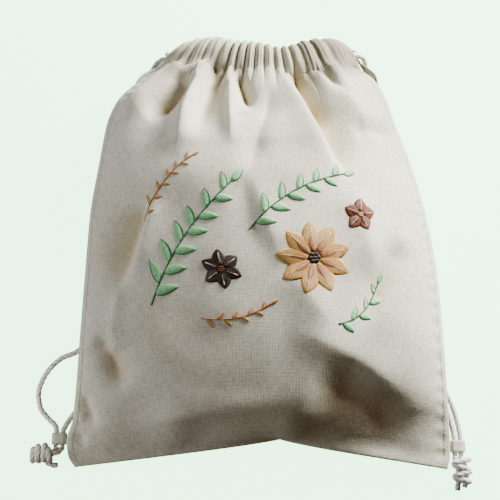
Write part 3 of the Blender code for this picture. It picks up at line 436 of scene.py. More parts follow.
# cloth panels
# sections run from the bottom seam (0) to the channel's stitching (1), each from the left seam
# over its top point to the right seam:
# share, left x y z, top x y z, right x y z, bend of y, roundness of z, edge of z, crowding
frontPanel = {
    "facing": 1, "channel": 10.0, "columns": 288, "rows": 204, "channelRows": 56,
    "sections": (
        (0.00, -178, -199, 4.0, 20, -173, 27, 182, -201, 4.0, 0.8, 1.7, 1.00, 0.5),
        (0.03, -185, -188, 4.5, 16, -173, 34, 185, -189, 5.0, 1.0, 1.8, 1.10, 0.6),
        (0.06, -186.5, -175, 8.0, 14, -169, 43, 185, -175, 8.0, 1.2, 2.0, 1.10, 0.7),
        (0.11, -180, -155, 16.0, 12, -159, 55, 183, -153, 15.0, 1.5, 2.2, 1.00, 0.9),
        (0.14, -178, -142, 21.0, 9, -150, 62, 182, -141, 20.0, 1.6, 2.3, 0.95, 1.0),
        (0.18, -176, -125, 26.0, 5, -136, 70, 181, -125, 24.0, 1.8, 2.3, 0.90, 1.0),
        (0.28, -173, -80, 34.0, 3, -98, 84, 178, -80, 33.0, 2.0, 2.3, 0.85, 1.0),
        (0.42, -170, -16, 37.0, 3, -44, 97, 174, -18, 37.0, 2.0, 2.2, 0.82, 1.0),
        (0.56, -167, 47, 38.0, 3, 13, 105, 165, 44, 38.0, 2.0, 2.2, 0.82, 1.0),
        (0.68, -160, 100, 38.0, 3, 61, 108, 152, 98, 38.0, 2.2, 2.2, 0.82, 0.9),
        (0.78, -154, 142, 37.0, 3, 100, 103, 138, 140, 37.0, 2.4, 2.2, 0.84, 0.8),
        (0.82, -149, 157, 38.0, 3, 116, 98, 133, 155, 39.0, 2.5, 2.2, 0.85, 0.8),
        (0.86, -141, 171, 39.0, 2, 132, 92, 127, 172, 41.5, 2.6, 2.2, 0.86, 0.7),
        (0.93, -122, 188, 41.0, 1, 161, 79, 116, 189, 43.5, 3.0, 2.3, 0.90, 0.6),
        (1.00, -100, 203, 42.0, 0, 187, 65, 101, 201, 43.0, 3.5, 2.6, 1.00, 0.4),
    ),
    # place from the left (-1) to the right (1), stitching x y z, top edge x y z
    "heading": (
        (-1.00, -100, 203.0, 42, -74, 221, 45), (-0.85, -86, 198.0, 47, -64, 227, 48),
        (-0.60, -60, 193.5, 55, -45, 229, 52), (-0.30, -30, 190.5, 62, -22, 222, 57),
        (0.00, -1, 187.0, 65, 0, 219, 59), (0.30, 28, 184.0, 65, 22, 214, 59),
        (0.60, 59, 188.0, 60, 45, 222, 56), (0.85, 87, 196.0, 50, 67, 228, 51),
        (1.00, 101, 201.0, 43, 81, 225, 44),
    ),
    # gathers from left to right: width when gathered, depth, share of the panel they run down
    "gathers": (
        (15, 0.8, 0.10), (9, 1.0, 0.06), (12, 0.6, 0.05), (16, 0.5, 0.10), (9, 1.1, 0.07),
        (8, 1.2, 0.12), (8, 1.0, 0.05), (9, 1.1, 0.08), (9, 0.8, 0.05), (11, 1.0, 0.10),
        (9, 0.8, 0.06), (9, 1.1, 0.10), (10, 0.7, 0.06), (13, 1.1, 0.12), (12, 1.0, 0.10),
        (20, 0.6, 0.08),
    ),
    # folds: start x y, bend x y, end x y, width left and right of one who walks that line,
    # height, share of it (eased) at which the fold starts
    "folds": (
        (-75, 203, -102, 178, -148, 136, 11, 12, 8.0, 0.5),  # lobe to the left shoulder
        (-66, 182, -86, 154, -112, 134, 10, 14, -14.0, 0.35),  # hollow beneath that lobe
        (-54, 202, -65, 156, -82, 82, 13, 11, 14.0, 0.4),  # long ridge left of the middle
        (-41, 198, -52, 149, -66, 102, 12, 8, -11.0, 0.35),  # hollow beside it
        (-29, 185, -28, 140, -26, 92, 7, 6, 7.0, 0.6),  # narrow ridge in the middle
        (-21, 184, -16, 162, -7, 131, 6, 5, -11.0, 0.4),  # short deep crease under the stitching
        (3, 185, 6, 140, -1, 78, 15, 14, 5.0, 0.5),  # full part right of the middle
        (12, 164, 3, 112, -13, 62, 10, 12, -7.0, 0),  # soft hollow running down to the left
        (22, 184, 43, 139, 77, 64, 6, 20, 9.0, 0.4),  # long ridge to the right
        (31, 188, 46, 156, 66, 116, 13, 6, -15.0, 0.35),  # steep hollow on its right side
        (50, 150, 68, 110, 92, 58, 20, 7, -10.0, 0),  # and that hollow's softer run down
        (64, 198, 88, 157, 120, 96, 16, 14, 7.0, 0.4),  # full right shoulder
        (50, 198, 64, 182, 92, 156, 6, 5, -6.0, 0.4),  # crease in that shoulder
        (88, 118, 114, 128, 140, 124, 11, 11, -6.0, 0),  # soft dent in the right shoulder
        (-106, 52, -114, 18, -140, -44, 7, 24, -12.0, 0),  # deep hollow in the left side
        (-102, 52, -109, 18, -131, -36, 13, 5, 6.0, 0),  # ridge along that hollow
        (-133, -30, -136, -60, -139, -92, 6, 8, 3.0, 0),  # and its run down the side
        (-7, 70, 3, 23, 27, -28, 16, 12, 3.2, 0),  # bowed ridge down the middle
        (-17, 70, -12, 25, 8, -22, 11, 16, -2.6, 0),  # hollow on its left
        (27, -20, 44, -50, 78, -86, 17, 15, 2.8, 0),  # and on to the right
        (20, -80, 84, -88, 160, -152, 20, 18, 5.0, 0),  # break above the lower right slope
        (42, -122, 106, -150, 156, -180, 34, 34, -10.5, 0),  # hollow below it
        (-130, -164, -40, -142, 46, -150, 13, 10, 4.5, 0),  # edge where the bottom turns under
        (86, 64, 101, 13, 112, -36, 18, 18, 5.5, 0),  # wedge on the right
        (142, 14, 120, -22, 90, -84, 12, 13, -6.5, 0),  # slanting hollow on the right
        (-157, -77, -143, -94, -127, -138, 8, 11, -7.5, 0),  # upper short crease at lower left
        (-172, -128, -165, -147, -155, -166, 6, 7, -5.0, 0),  # lower short crease at lower left
        (-139, -88, -133, -106, -122, -134, 12, 12, -4.0, 0),  # soft hollow beside them
        (-182, -159, -177, -170, -164, -180, 5, 6, -3.5, 0),  # crease above the flat left corner
    ),
    # places across and how far out from the channel's middle the stitching lies there
    "setOut": ((-1, -0.75, -0.35, -0.1, 0.1, 0.35, 0.75, 1), (0, 3.5, 4, 3.5, 3.5, 7, 7, 0)),
    "wrinkles": {"seed": 5, "height": 0.5, "sizes": (34, 95), "count": 26},
}
# the back lies flat: its sections also give the flat share of the width and the flat form's weight
backPanel = {
    "facing": -1, "channel": 9.8, "columns": 200, "rows": 160, "channelRows": 40,
    "sections": (
        (0.00, -178, -199, 4.0, 20, -173, 27.0, 182, -201, 4.0, 0.8, 1.7, 1.00, 0.5, 0.65, 0.0),
        (0.03, -185, -188, 4.5, 16, -171, 20.0, 185, -189, 5.0, 1.0, 1.8, 1.10, 0.6, 0.65, 0.3),
        (0.06, -186.5, -175, 8.0, 10, -164, 11.5, 185, -175, 8.0, 1.3, 2.0, 1.10, 0.7, 0.65, 0.7),
        (0.11, -180, -155, 16.0, 5, -150, 4.5, 183, -153, 15.0, 1.6, 2.2, 0.95, 0.8, 0.65, 0.95),
        (0.18, -176, -125, 26.0, 3, -124, 1.5, 181, -125, 24.0, 1.8, 2.3, 0.85, 0.8, 0.65, 1.0),
        (0.28, -173, -80, 34.0, 3, -82, 1.5, 178, -80, 33.0, 2.0, 2.3, 0.78, 0.8, 0.65, 1.0),
        (0.42, -170, -16, 37.0, 3, -22, 1.5, 174, -18, 37.0, 2.0, 2.3, 0.75, 0.8, 0.65, 1.0),
        (0.56, -167, 47, 38.0, 3, 38, 1.5, 165, 44, 38.0, 2.0, 2.3, 0.75, 0.8, 0.65, 1.0),
        (0.68, -160, 100, 38.0, 3, 86, 1.5, 152, 98, 38.0, 2.2, 2.3, 0.78, 0.8, 0.62, 1.0),
        (0.78, -154, 142, 37.0, 3, 124, 1.5, 138, 140, 37.0, 2.4, 2.3, 0.80, 0.8, 0.60, 1.0),
        (0.82, -142, 157, 31.5, 3, 138, 1.5, 125, 156, 32.0, 2.5, 2.3, 0.82, 0.8, 0.60, 1.0),
        (0.86, -135, 172, 30.0, 2, 152, 1.6, 124, 173, 30.0, 2.6, 2.3, 0.85, 0.7, 0.60, 1.0),
        (0.93, -122, 196, 37.0, 1, 174, 2.5, 121, 196, 36.0, 3.0, 2.4, 0.90, 0.6, 0.62, 1.0),
        (1.00, -101, 210, 33.0, 0, 193, 5.0, 106, 212, 34.0, 3.5, 2.6, 1.00, 0.4, 0.62, 1.0),
    ),
    "heading": (
        (-1.00, -101, 210, 33.0, -76, 227, 26.0), (-0.85, -91, 205, 21.0, -66, 226, 19.0),
        (-0.60, -66, 198, 9.0, -47, 224, 14.0), (-0.30, -33, 194, 5.0, -24, 222, 12.0),
        (0.00, 0, 193, 5.0, 0, 221, 12.0), (0.30, 34, 194, 5.0, 24, 221, 12.0),
        (0.60, 68, 198, 9.0, 50, 224, 14.0), (0.85, 94, 206, 20.0, 74, 230, 18.0),
        (1.00, 106, 212, 34.0, 86, 233, 25.0),
    ),
    "gathers": (
        (18, 0.7, 0.10), (13, 1.0, 0.14), (11, 0.9, 0.08), (14, 1.1, 0.16), (12, 0.8, 0.10),
        (15, 1.0, 0.12), (11, 1.1, 0.18), (14, 0.9, 0.10), (12, 1.0, 0.14), (15, 0.8, 0.08),
        (13, 1.1, 0.16), (19, 0.7, 0.10),
    ),
    "folds": (
        (-120, 130, -128, 100, -132, 60, 10, 10, 3.0, 0),
        (-132, 20, -128, -20, -134, -60, 9, 12, 3.5, 0),
        (-128, -90, -120, -120, -126, -150, 10, 10, 4.0, 0),
        (124, 110, 134, 70, 132, 20, 12, 9, 3.5, 0),
        (134, -10, 130, -50, 138, -95, 9, 12, 3.0, 0),
        (120, -120, 128, -140, 140, -160, 9, 9, 3.5, 0),
        (-60, -150, -20, -146, 10, -152, 8, 8, 3.0, 0),
        (30, -158, 60, -150, 90, -160, 8, 8, 3.0, 0),
        (-70, 192, -90, 160, -104, 120, 8, 10, 4.0, 1),
        (-30, 188, -36, 160, -46, 120, 7, 9, 3.0, 1),
        (20, 188, 26, 165, 30, 120, 8, 8, 3.0, 1),
        (70, 194, 88, 165, 100, 130, 9, 9, 4.0, 1),
    ),
    "setOut": ((-1, -0.6, 0.6, 1), (0, 2, 2, 0)),
    "wrinkles": {"seed": 9, "height": 0.35, "sizes": (34, 95), "count": 20},
}
# what both panels share
clothMake = {
    "thickness": 1.5, "plyGap": 0.3, "flatWidth": 380.0, "flatLength": 490.0,
    "seamHold": 0.05, "seamHoldSide": 9.0, "drawnFrom": 0.84, "backRise": 1.8,
    "channelSwell": 1.22, "channelRound": 0.7, "setOutShare": 0.25, "hemCloses": 0.8,
    "hemInset": 1.0, "pleatDepth": 2.2, "pleatSharpness": 0.8, "pleatSide": 14.0,
    "foldSteps": 8, "foldIn": 0.30, "foldOut": 0.40, "foldRound": 1.6, "foldInChannel": 0.2,
    # a strip along each side seam, with puckers beside it
    "stripWidth": 8.0, "stripRise": 0.5, "stripEdge": 1.5, "puckerPitch": 13.0,
    "puckerRise": 0.45, "puckerInset": 11.0, "puckerWidth": 6.0, "puckerDrift": (2.2, 31.0),
    # thin pleats at the neck; sine waves (amount, pace, start) shift them, and one about a level
    # (level, amount, pace, start) sets their size
    "thinPleats": 44, "thinRise": 0.75, "thinRound": 0.5, "thinRun": 0.05, "reliefFrom": 0.02,
    "thinDrift": ((5.0, 7.3, 0.0), (2.6, 19.0, 1.0)), "thinSize": (0.65, 0.35, 11.0, 2.0),
    # where painted shade darkens the cloth at the neck, its right end, the right shoulder and the
    # neck's creases: where it starts, over how much of the panel, and how much
    "neckFrom": 0.9, "neckPaintedShade": 0.35, "rightFrom": 0.1, "rightRun": 0.6, "rightPaintedShade": 0.42,
    "shoulderFrom": 0.6, "shoulderRun": 0.25, "shoulderPaintedShade": 0.3, "creasePaintedShade": 0.5,
}


def readTable(rows, at):
    # every column of a table at each value of its first column, on a smooth monotone curve
    rows = np.array(rows, float)
    at = np.clip(np.atleast_1d(at), rows[0, 0], rows[-1, 0])
    step = np.diff(rows[:, 0])[:, None]
    rise = np.diff(rows[:, 1:], axis=0) / step
    turn, total = rise[1:] * rise[:-1], rise[1:] + rise[:-1]
    middle = np.where(turn > 0, 2 * turn / np.where(total == 0, 1, total), 0)
    slope = np.vstack([rise[:1], middle, rise[-1:]])
    i = np.clip(np.searchsorted(rows[:, 0], at, side="right") - 1, 0, len(step) - 1)
    t = ((at - rows[i, 0]) / step[i, 0])[:, None]
    start, end = rows[i, 1:], rows[i + 1, 1:]
    return (start * (2 * t ** 3 - 3 * t ** 2 + 1) + end * (3 * t ** 2 - 2 * t ** 3)
            + slope[i] * step[i] * (t ** 3 - 2 * t ** 2 + t)
            + slope[i + 1] * step[i] * (t ** 3 - t ** 2))


def sectionPoints(sections, u, v):
    # the filled form: across u each section falls from its top point to both seams, with y bent
    # by the power bend, and z by (1 - distance ** roundness) ** edge
    column = [c[:, None] for c in readTable(sections, v).T]
    left, top, right = column[0:3], column[3:6], column[6:9]
    bend, rounding, edge, crowding = column[9:13]
    s = np.sin(u[None, :] * crowding) / np.sin(crowding)
    half, middle = (right[0] - left[0]) / 2, (right[0] + left[0]) / 2
    apex = (top[0] - middle) / half
    onLeft = s < apex
    d = np.where(onLeft, (apex - s) / (1 + apex), (s - apex) / (1 - apex))
    sideY, sideZ = np.where(onLeft, left[1], right[1]), np.where(onLeft, left[2], right[2])
    y = top[1] + (sideY - top[1]) * d ** bend
    z = sideZ + (top[2] - sideZ) * (1 - d ** rounding) ** edge
    if len(column) > 13:
        flat, weight = column[13:15]
        lift = np.clip((d - flat) / (1 - flat), 0, 1) ** clothMake["backRise"]
        z = z * (1 - weight) + (top[2] + (sideZ - top[2]) * lift) * weight
    return np.stack([middle + half * s, y, z], -1)


def headingLines(panel, u):
    # the stitching, and the channel's height, upward and outward directions along it; the
    # stitching is set out from the channel's middle towards its outer face
    lines = readTable(panel["heading"], u)
    stitching, top = lines[:, 0:3], lines[:, 3:6]
    height = np.linalg.norm(top - stitching, axis=1)
    up = (top - stitching) / height[:, None]
    out = panel["facing"] * np.cross(np.gradient(top + stitching, axis=0), up)
    out /= np.linalg.norm(out, axis=1)[:, None]
    setOut = np.interp(u, *panel["setOut"])
    return stitching, height, up, out, setOut


def panelPoints(panel, u, v):
    # the filled form, drawn to the heading's stitching over its last stretch
    stitching, _, _, out, setOut = headingLines(panel, u)
    stitching = stitching + out * setOut[:, None]
    end = sectionPoints(panel["sections"], u, np.ones(1))[0]
    drawn = clothMake["drawnFrom"]
    pull = ease((v - drawn) / (1 - drawn))[:, None, None]
    return sectionPoints(panel["sections"], u, v) + pull * (stitching - end)[None]


def channelPoints(panel, u, around):
    # the turned-down heading: a tall drop-shaped round from the stitching over the cords and back
    make = clothMake
    stitching, height, up, out, setOut = headingLines(panel, u)
    closing = ease((around - make["hemCloses"]) / (1 - make["hemCloses"]))
    swell = (make["channelSwell"] * np.sin(2 * math.pi * around)
             * np.sin(math.pi * around) ** make["channelRound"])
    face = swell * panel["channel"] * (1 - 2 * closing) - make["plyGap"] * closing
    rise = np.outer(np.sin(math.pi * around) ** 2, height) + (make["hemInset"] * closing)[:, None]
    near = 1 - ease(np.minimum(around, 1 - around) / make["setOutShare"])
    face = face[:, None] + near[:, None] * setOut[None]
    return stitching[None] + up[None] * rise[..., None] + out[None] * face[..., None]


def gatherHeights(panel, u, v):
    # ridges of uneven width, round on top and creased between, that run out down the panel
    make = clothMake
    width, depth, length = np.array(panel["gathers"], float).T
    edges = np.concatenate([[0], np.cumsum(width)]) / width.sum() * 2 - 1
    k = np.clip(np.searchsorted(edges, u, side="right") - 1, 0, len(width) - 1)
    share = (u - edges[k]) / (edges[k + 1] - edges[k])
    depths = np.interp(u, (edges[:-1] + edges[1:]) / 2, depth)
    wave = (2 * np.abs(np.sin(math.pi * share)) ** make["pleatSharpness"] - 1) * depths
    fade = (ease(1 - (1 - v)[:, None] / length[k][None])
            * ease((1 - np.abs(u)) * make["pleatSide"])[None])
    return make["pleatDepth"] * wave[None] * fade


def foldHeights(folds, x, y):
    # each fold is a ridge or trough along a bent line: height * exp(-(distance / width) ** round),
    # with its own width on each side, rising and running out along the line
    make, total = clothMake, np.zeros_like(x)
    for x0, y0, xm, ym, x1, y1, wideLeft, wideRight, height, rooted in folds:
        line = bentLine((x0, y0), (xm, ym), (x1, y1), make["foldSteps"] + 1)
        nearest, side, place = np.full(x.shape, np.inf), np.zeros_like(x), np.zeros_like(x)
        for i, ((ax, ay), (bx, by)) in enumerate(zip(line[:-1], np.diff(line, axis=0))):
            along = np.clip(((x - ax) * bx + (y - ay) * by) / (bx * bx + by * by), 0, 1)
            dx, dy = x - ax - along * bx, y - ay - along * by
            closer = np.hypot(dx, dy) < nearest
            nearest = np.where(closer, np.hypot(dx, dy), nearest)
            side = np.where(closer, bx * dy - by * dx, side)
            place = np.where(closer, (i + along) / make["foldSteps"], place)
        width = np.where(side > 0, wideLeft, wideRight)
        ends = ease(place / make["foldIn"] + rooted) * ease((1 - place) / make["foldOut"])
        total += height * ends * np.exp(-(nearest / width) ** make["foldRound"])
    return total


def wrinkleHeights(wrinkles, x, y):
    # low slack in the cloth: a sum of seeded sine waves in many directions
    rng, total = np.random.default_rng(wrinkles["seed"]), np.zeros_like(x)
    for _ in range(wrinkles["count"]):
        size = rng.uniform(*wrinkles["sizes"])
        turn, phase = rng.uniform(0, math.pi), rng.uniform(0, 2 * math.pi)
        along = x * math.cos(turn) + y * math.sin(turn)
        total += size * np.sin(along * 2 * math.pi / size + phase)
    return total * wrinkles["height"] / (
        np.mean(wrinkles["sizes"]) * math.sqrt(wrinkles["count"] / 2))


def thinPleatShares(u):
    # thin uneven pleats across the neck: how high each place stands, and how deep in a crease
    make = clothMake
    turn = make["thinPleats"] * math.pi * u
    for amount, pace, start in make["thinDrift"]:
        turn = turn + amount * np.sin(pace * u + start)
    level, amount, pace, start = make["thinSize"]
    size = ease((1 - np.abs(u)) * make["pleatSide"]) * (level + amount * np.sin(pace * u + start))
    wave = np.abs(np.sin(turn / 2))
    return (2 * wave ** make["thinRound"] - 1) * size, (1 - wave) ** 2 * size


def seamRelief(flat):
    # the allowance inside each side seam lifts a strip, and the stitching puckers the cloth by it
    make, up = clothMake, flat[..., 1]
    inset = make["flatWidth"] / 2 - np.abs(flat[..., 0])
    strip = ease((make["stripWidth"] - inset) / make["stripEdge"]) - ease(1 - inset)
    drift, length = make["puckerDrift"]
    pucker = np.exp(-((inset - make["puckerInset"]) / make["puckerWidth"]) ** 2) * np.sin(
        2 * math.pi * up / make["puckerPitch"] + drift * np.sin(up / length))
    return make["stripRise"] * strip + make["puckerRise"] * pucker


def unitNormals(points, facing):
    normal = facing * np.cross(np.gradient(points, axis=1), np.gradient(points, axis=0))
    return normal / np.linalg.norm(normal, axis=2)[..., None]


def clothGrid(panel, u, v, around):
    # inner and outer face of a panel with its heading, as grids of points, and the outer face's
    # flat measures (mm across, mm up), fold height and painted shade
    make, rows, around = clothMake, len(v), around[1:]

    def everyRow(body, channel=1.0):
        # a value for each row of the body, and one for all of the channel's rows
        return np.concatenate([body, np.full(len(around), channel)])

    smooth = np.concatenate([panelPoints(panel, u, v), channelPoints(panel, u, around)])
    normal = unitNormals(smooth, panel["facing"])
    x, y = smooth[:rows, :, 0], smooth[:rows, :, 1]
    held = np.outer(ease(v / make["seamHold"]), ease((1 - np.abs(u)) * make["seamHoldSide"]))
    gathered = gatherHeights(panel, u, v)
    height = gathered + held * (foldHeights(panel["folds"], x, y)
                                + wrinkleHeights(panel["wrinkles"], x, y))
    nearStitching = 1 - ease(np.minimum(around, 1 - around) / make["foldInChannel"])
    lift = gathered[-1][None] + np.outer(nearStitching, height[-1] - gathered[-1])
    inner = smooth.copy()
    inner[:rows] += normal[:rows] * height[..., None]
    inner[rows:] += normal[rows - 1][None] * lift[..., None]
    inner[..., 2] = np.maximum(inner[..., 2] + panel["facing"] * make["plyGap"] / 2,
                               make["thickness"])
    up = runAlong(smooth[:, len(u) // 2])[:, None]
    flat = np.stack(np.broadcast_arrays(u[None] * make["flatWidth"] / 2, up), -1)
    pleats, creases = thinPleatShares(u)
    thinDown = everyRow(ease(1 - (1 - v) / make["thinRun"]))
    relief = seamRelief(flat) + make["thinRise"] * np.outer(thinDown, pleats)
    relief *= everyRow(ease(v / make["reliefFrom"]))[:, None]
    outer = inner + normal * (make["thickness"] + relief)[..., None]
    outer[..., 2] = np.maximum(outer[..., 2], 0)
    # painted shade: the drawn neck darker, most at its right end, the right shoulder a little
    # darker, and the neck's creases darker still
    toRight = ease((u - make["rightFrom"]) / make["rightRun"])
    neck = everyRow(ease((v - make["neckFrom"]) / (1 - make["neckFrom"])))
    shoulder = everyRow(ease((v - make["shoulderFrom"]) / make["shoulderRun"]), 0.0)
    shade = np.maximum(np.outer(neck, make["neckPaintedShade"] + make["rightPaintedShade"] * toRight),
                       np.outer(shoulder, make["shoulderPaintedShade"] * toRight))
    shade = np.minimum(shade + make["creasePaintedShade"] * np.outer(thinDown, creases), 1)
    return inner, outer, flat, np.concatenate([height, lift]), shade


def gridFaces(ids, flip):
    quads = np.stack([ids[:-1, :-1], ids[:-1, 1:], ids[1:, 1:], ids[1:, :-1]], -1).reshape(-1, 4)
    return quads[:, ::-1] if flip else quads


def rimFaces(fine, coarse, flip):
    # joins an edge of the outer face to the inner face's, which has half as many points
    a, b, c, p, q = fine[:-2:2], fine[1:-1:2], fine[2::2], coarse[:-1], coarse[1:]
    tris = np.concatenate([np.stack(corners, -1) for corners in ((a, b, p), (b, q, p), (b, c, q))])
    return tris[:, ::-1] if flip else tris


def makeCloth(name, panel, material):
    # one closed sheet: a fine outer face, an inner face with half its points, and their rims;
    # also gives the outer face as a surface to lay threads on
    u = np.linspace(-1, 1, panel["columns"] + 1)
    v = np.linspace(0, 1, panel["rows"] + 1)
    around = np.linspace(0, 1, panel["channelRows"] + 1)
    inner, outer, flat, folds, shade = clothGrid(panel, u, v, around)
    outerIds = np.arange(outer[..., 0].size).reshape(outer.shape[:2])
    half = inner[::2, ::2]
    innerIds = np.arange(half[..., 0].size).reshape(half.shape[:2]) + outerIds.size
    turned = panel["facing"] < 0
    faces = gridFaces(outerIds, turned).tolist() + gridFaces(innerIds, not turned).tolist()
    for edge, way in ((0, True), (-1, False)):
        faces += rimFaces(outerIds[edge], innerIds[edge], way != turned).tolist()
        faces += rimFaces(outerIds[:, edge], innerIds[:, edge], way == turned).tolist()
    points = np.concatenate([outer.reshape(-1, 3), half.reshape(-1, 3)])
    uv = np.concatenate([flat.reshape(-1, 2), flat[::2, ::2].reshape(-1, 2)])
    depth, paintedShade = (np.concatenate([g.ravel(), g[::2, ::2].ravel()]) for g in (folds, shade))
    piece = makeMesh(name, points, faces, material, uv, {"foldHeight": depth, "paintedNeckShade": paintedShade})
    return piece, {"outer": outer, "flat": flat, "neckRow": panel["rows"],
                   "facing": panel["facing"], "normal": unitNormals(outer, panel["facing"])}


# hollowFrom and hollowTo are the fold heights over which the cloth takes a warm tint in its
# hollows, painted light for light bounced off the cloth around; slubs, flecks and clouds have
# their scales to the mm, across and along a thread
clothLook = {
    "colour": "#DDDCCB", "colourShade": "#D5D2BE", "paintedBounceTint": "#CBB991", "neck": "#938A7E",
    "fleck": "#A89E88", "slub": "#D2CDC0", "slubTone": 0.7, "hollowFrom": -2.0,
    "hollowTo": -14.0, "roughness": 0.93, "sheen": 0.15, "specular": 0.25,
    "relief": 0.3, "reliefHeight": 0.6, "threadPitch": 1.25, "slubAcross": 0.95,
    "slubAlong": 0.13, "fleckAcross": 0.5, "fleckAlong": 0.16, "cloudScale": 0.012,
}


def naturalLinenCotton(look):
    # Plain-woven linen and cotton, washed and unbleached: matt, greyish cream, with slubs along
    # both threads and darker flecks of straw. Real threads lie 0.7 mm apart; they are drawn at
    # threadPitch, about as fine as the render shows.
    material, tree, shader = newMaterial("plainWovenLinenCotton")
    uv = addNode(tree, "UVMap", {"uv_map": "threads"})
    threads, slubs, across, along = [], [], look["slubAcross"], look["slubAlong"]
    for direction, scale in (("X", (across, along, 1)), ("Y", (along, across, 1))):
        threads.append(addNode(tree, "TexWave", {"bands_direction": direction}, "Fac", Vector=uv,
                               Scale=1 / look["threadPitch"] / waveRepeat, Distortion=1.8,
                               Detail=2.0, Detail_Scale=0.7))
        stretched = addNode(tree, "Mapping", Vector=uv, Scale=scale)
        slubs.append(addNode(tree, "TexNoise", Vector=stretched, Scale=1.0, Detail=3.0))
    weave = addNode(tree, "Math", {"operation": "MAXIMUM"}, i0=threads[0], i1=threads[1])
    slub = addNode(tree, "Math", {"operation": "ADD"}, i0=slubs[0], i1=slubs[1])
    cloudy = addNode(tree, "TexNoise", Vector=uv, Scale=look["cloudScale"], Detail=3.0)
    base = addNode(tree, "ValToRGB", {
        "stops": ((0.35, look["colourShade"]), (0.6, look["colour"]))}, Fac=cloudy)
    # hollows are warmer: the light in them has come off the cloth around
    depth = addNode(tree, "Attribute", {"attribute_name": "foldHeight"}, "Fac")
    hollow = addNode(tree, "MapRange", i0=depth, i1=look["hollowFrom"], i2=look["hollowTo"])
    warmed = addNode(tree, "Mix", mixed, 2, i0=hollow, i6=base, i7=linear(look["paintedBounceTint"]))
    # painted shade: the neck shade attribute darkens the colour towards the neck colour
    paintedShade = addNode(tree, "Attribute", {"attribute_name": "paintedNeckShade"}, "Fac")
    shadeDarkened = addNode(tree, "Mix", multiplied, 2, i0=paintedShade, i6=warmed, i7=linear(look["neck"]))
    halved = addNode(tree, "Math", {"operation": "MULTIPLY"}, i0=slub, i1=0.5)
    tone = addNode(tree, "ValToRGB", {"stops": ((0.4, look["slub"]), (0.56, "#FFFFFF"))},
                   Fac=halved)
    toned = addNode(tree, "Mix", multiplied, 2, i0=look["slubTone"], i6=shadeDarkened, i7=tone)
    stretched = addNode(tree, "Mapping", Vector=uv,
                        Scale=(look["fleckAcross"], look["fleckAlong"], 1))
    flecks = addNode(tree, "TexNoise", Vector=stretched, Scale=1.0, Detail=2.0)
    flecked = addNode(tree, "MapRange", i0=flecks, i1=0.70, i2=0.76)
    colour = addNode(tree, "Mix", mixed, 2, i0=flecked, i6=toned, i7=linear(look["fleck"]))
    relief = addNode(tree, "Math", {"operation": "ADD"}, i0=weave, i1=slub)
    setSurface(tree, shader, look, colour, relief)
    return material


clothMaterial = naturalLinenCotton(clothLook)
front, frontSurface = makeCloth("frontPanel", frontPanel, clothMaterial)
back, backSurface = makeCloth("backPanel", backPanel, clothMaterial)
print("panels made:", len(front.data.polygons), "and", len(back.data.polygons), "faces")


# embroidery and stitches
# Motifs lie on the front in its flat measures: mm across from the middle and mm up from the
# bottom seam.
embroidery = {
    "threads": {
        "leafGreen": "#8FD795", "stemGreen": "#1F6B38", "gold": "#CF9E58", "tan": "#A9713F",
        "darkBrown": "#2A170C", "redBrown": "#6E3A22", "cream": "#E6CDB4",
    },
    "threadPitch": 1.1, "threadSlant": 20.0, "roughness": 0.55, "sheen": 0.0,
    "specular": 0.3, "relief": 0.6, "reliefHeight": 0.3, "patchScale": 0.35,
    "padHeight": 0.8, "edgeWidth": 0.55, "stemWidth": 0.8, "sides": 8,
    # stem's start, bend and end; pairs of leaves; a leaf's length and width; its threads
    "sprigs": (
        (-99, 138, -78, 205, -20, 264, 6, 25, 9.5, "leafGreen", "stemGreen"),
        (-8, 214, 30, 262, 96, 264, 5, 20, 8.0, "leafGreen", "stemGreen"),
        (66, 124, 96, 126, 112, 160, 3, 14, 6.0, "leafGreen", "stemGreen"),
        (-110, 214, -98, 262, -62, 286, 5, 11, 3.6, "gold", "tan"),
        (-52, 130, -18, 126, 10, 146, 4, 10, 3.4, "gold", "tan"),
    ),
    # where leaves start on a stem and the share of it they take, their turn from it and bow, how
    # much shorter and narrower the last one is, and the side that has the dark edge
    "stemSteps": 40, "leafSteps": 10, "leafFrom": 0.1, "leafRun": 0.88, "leafTurn": 0.85,
    "leafBow": 0.12, "shorter": 0.35, "narrower": 0.25, "edgeSide": (0.5, -1), "edgeHeight": 0.9,
    # centre; petals; turn in degrees; a petal's reach and width; threads of its rim, its heart,
    # its vein and the flower's middle
    "flowers": (
        (48, 186, 9, 12, 35, 19, "gold", "tan", "cream", "darkBrown"),
        (-34, 176, 6, 40, 19, 13, "darkBrown", "darkBrown", "cream", "redBrown"),
        (96, 222, 5, 75, 16, 13, "redBrown", "redBrown", "cream", "gold"),
    ),
    # shares of a petal's reach where its rim and heart start and end, of its width, and height
    "rim": (0.12, 1.0, 1.0, 1.0), "heart": (0.15, 0.66, 0.5, 1.25), "petalBow": 0.05,
    "veinFrom": 0.3, "veinTo": 0.8, "veinHeight": 1.4, "veinSteps": 6,
    # thread knots in the middle: their ring and half length and width as shares of the reach
    "knots": 6, "knotSteps": 5, "knotRing": 0.102, "knotLength": 0.068, "knotWidth": 0.0714,
    "knotHeight": 1.6,
}
fullHalfWidth = 0.5  # from this half width on, a laid thread stands at its full height


def onCloth(surface, flat, lift):
    # a point at each flat measure, lifted off the outer face, from the four grid points around it
    across, up = surface["flat"][0, :, 0], surface["flat"][:, 0, 1]
    column = np.interp(flat[..., 0], across, np.arange(len(across)))
    row = np.interp(flat[..., 1], up, np.arange(len(up)))
    k = np.minimum(column.astype(int), len(across) - 2)
    i = np.minimum(row.astype(int), len(up) - 2)
    s, t = (column - k)[..., None], (row - i)[..., None]

    def between(grid):
        return ((grid[i, k] * (1 - s) + grid[i, k + 1] * s) * (1 - t)
                + (grid[i + 1, k] * (1 - s) + grid[i + 1, k + 1] * s) * t)
    return between(surface["outer"]) + between(surface["normal"]) * lift[..., None]


def squareTo(line):
    # the direction to the left of a line, at each of its points
    along = np.gradient(line, axis=0)
    along /= np.linalg.norm(along, axis=1)[:, None]
    return np.stack([-along[:, 1], along[:, 0]], 1)


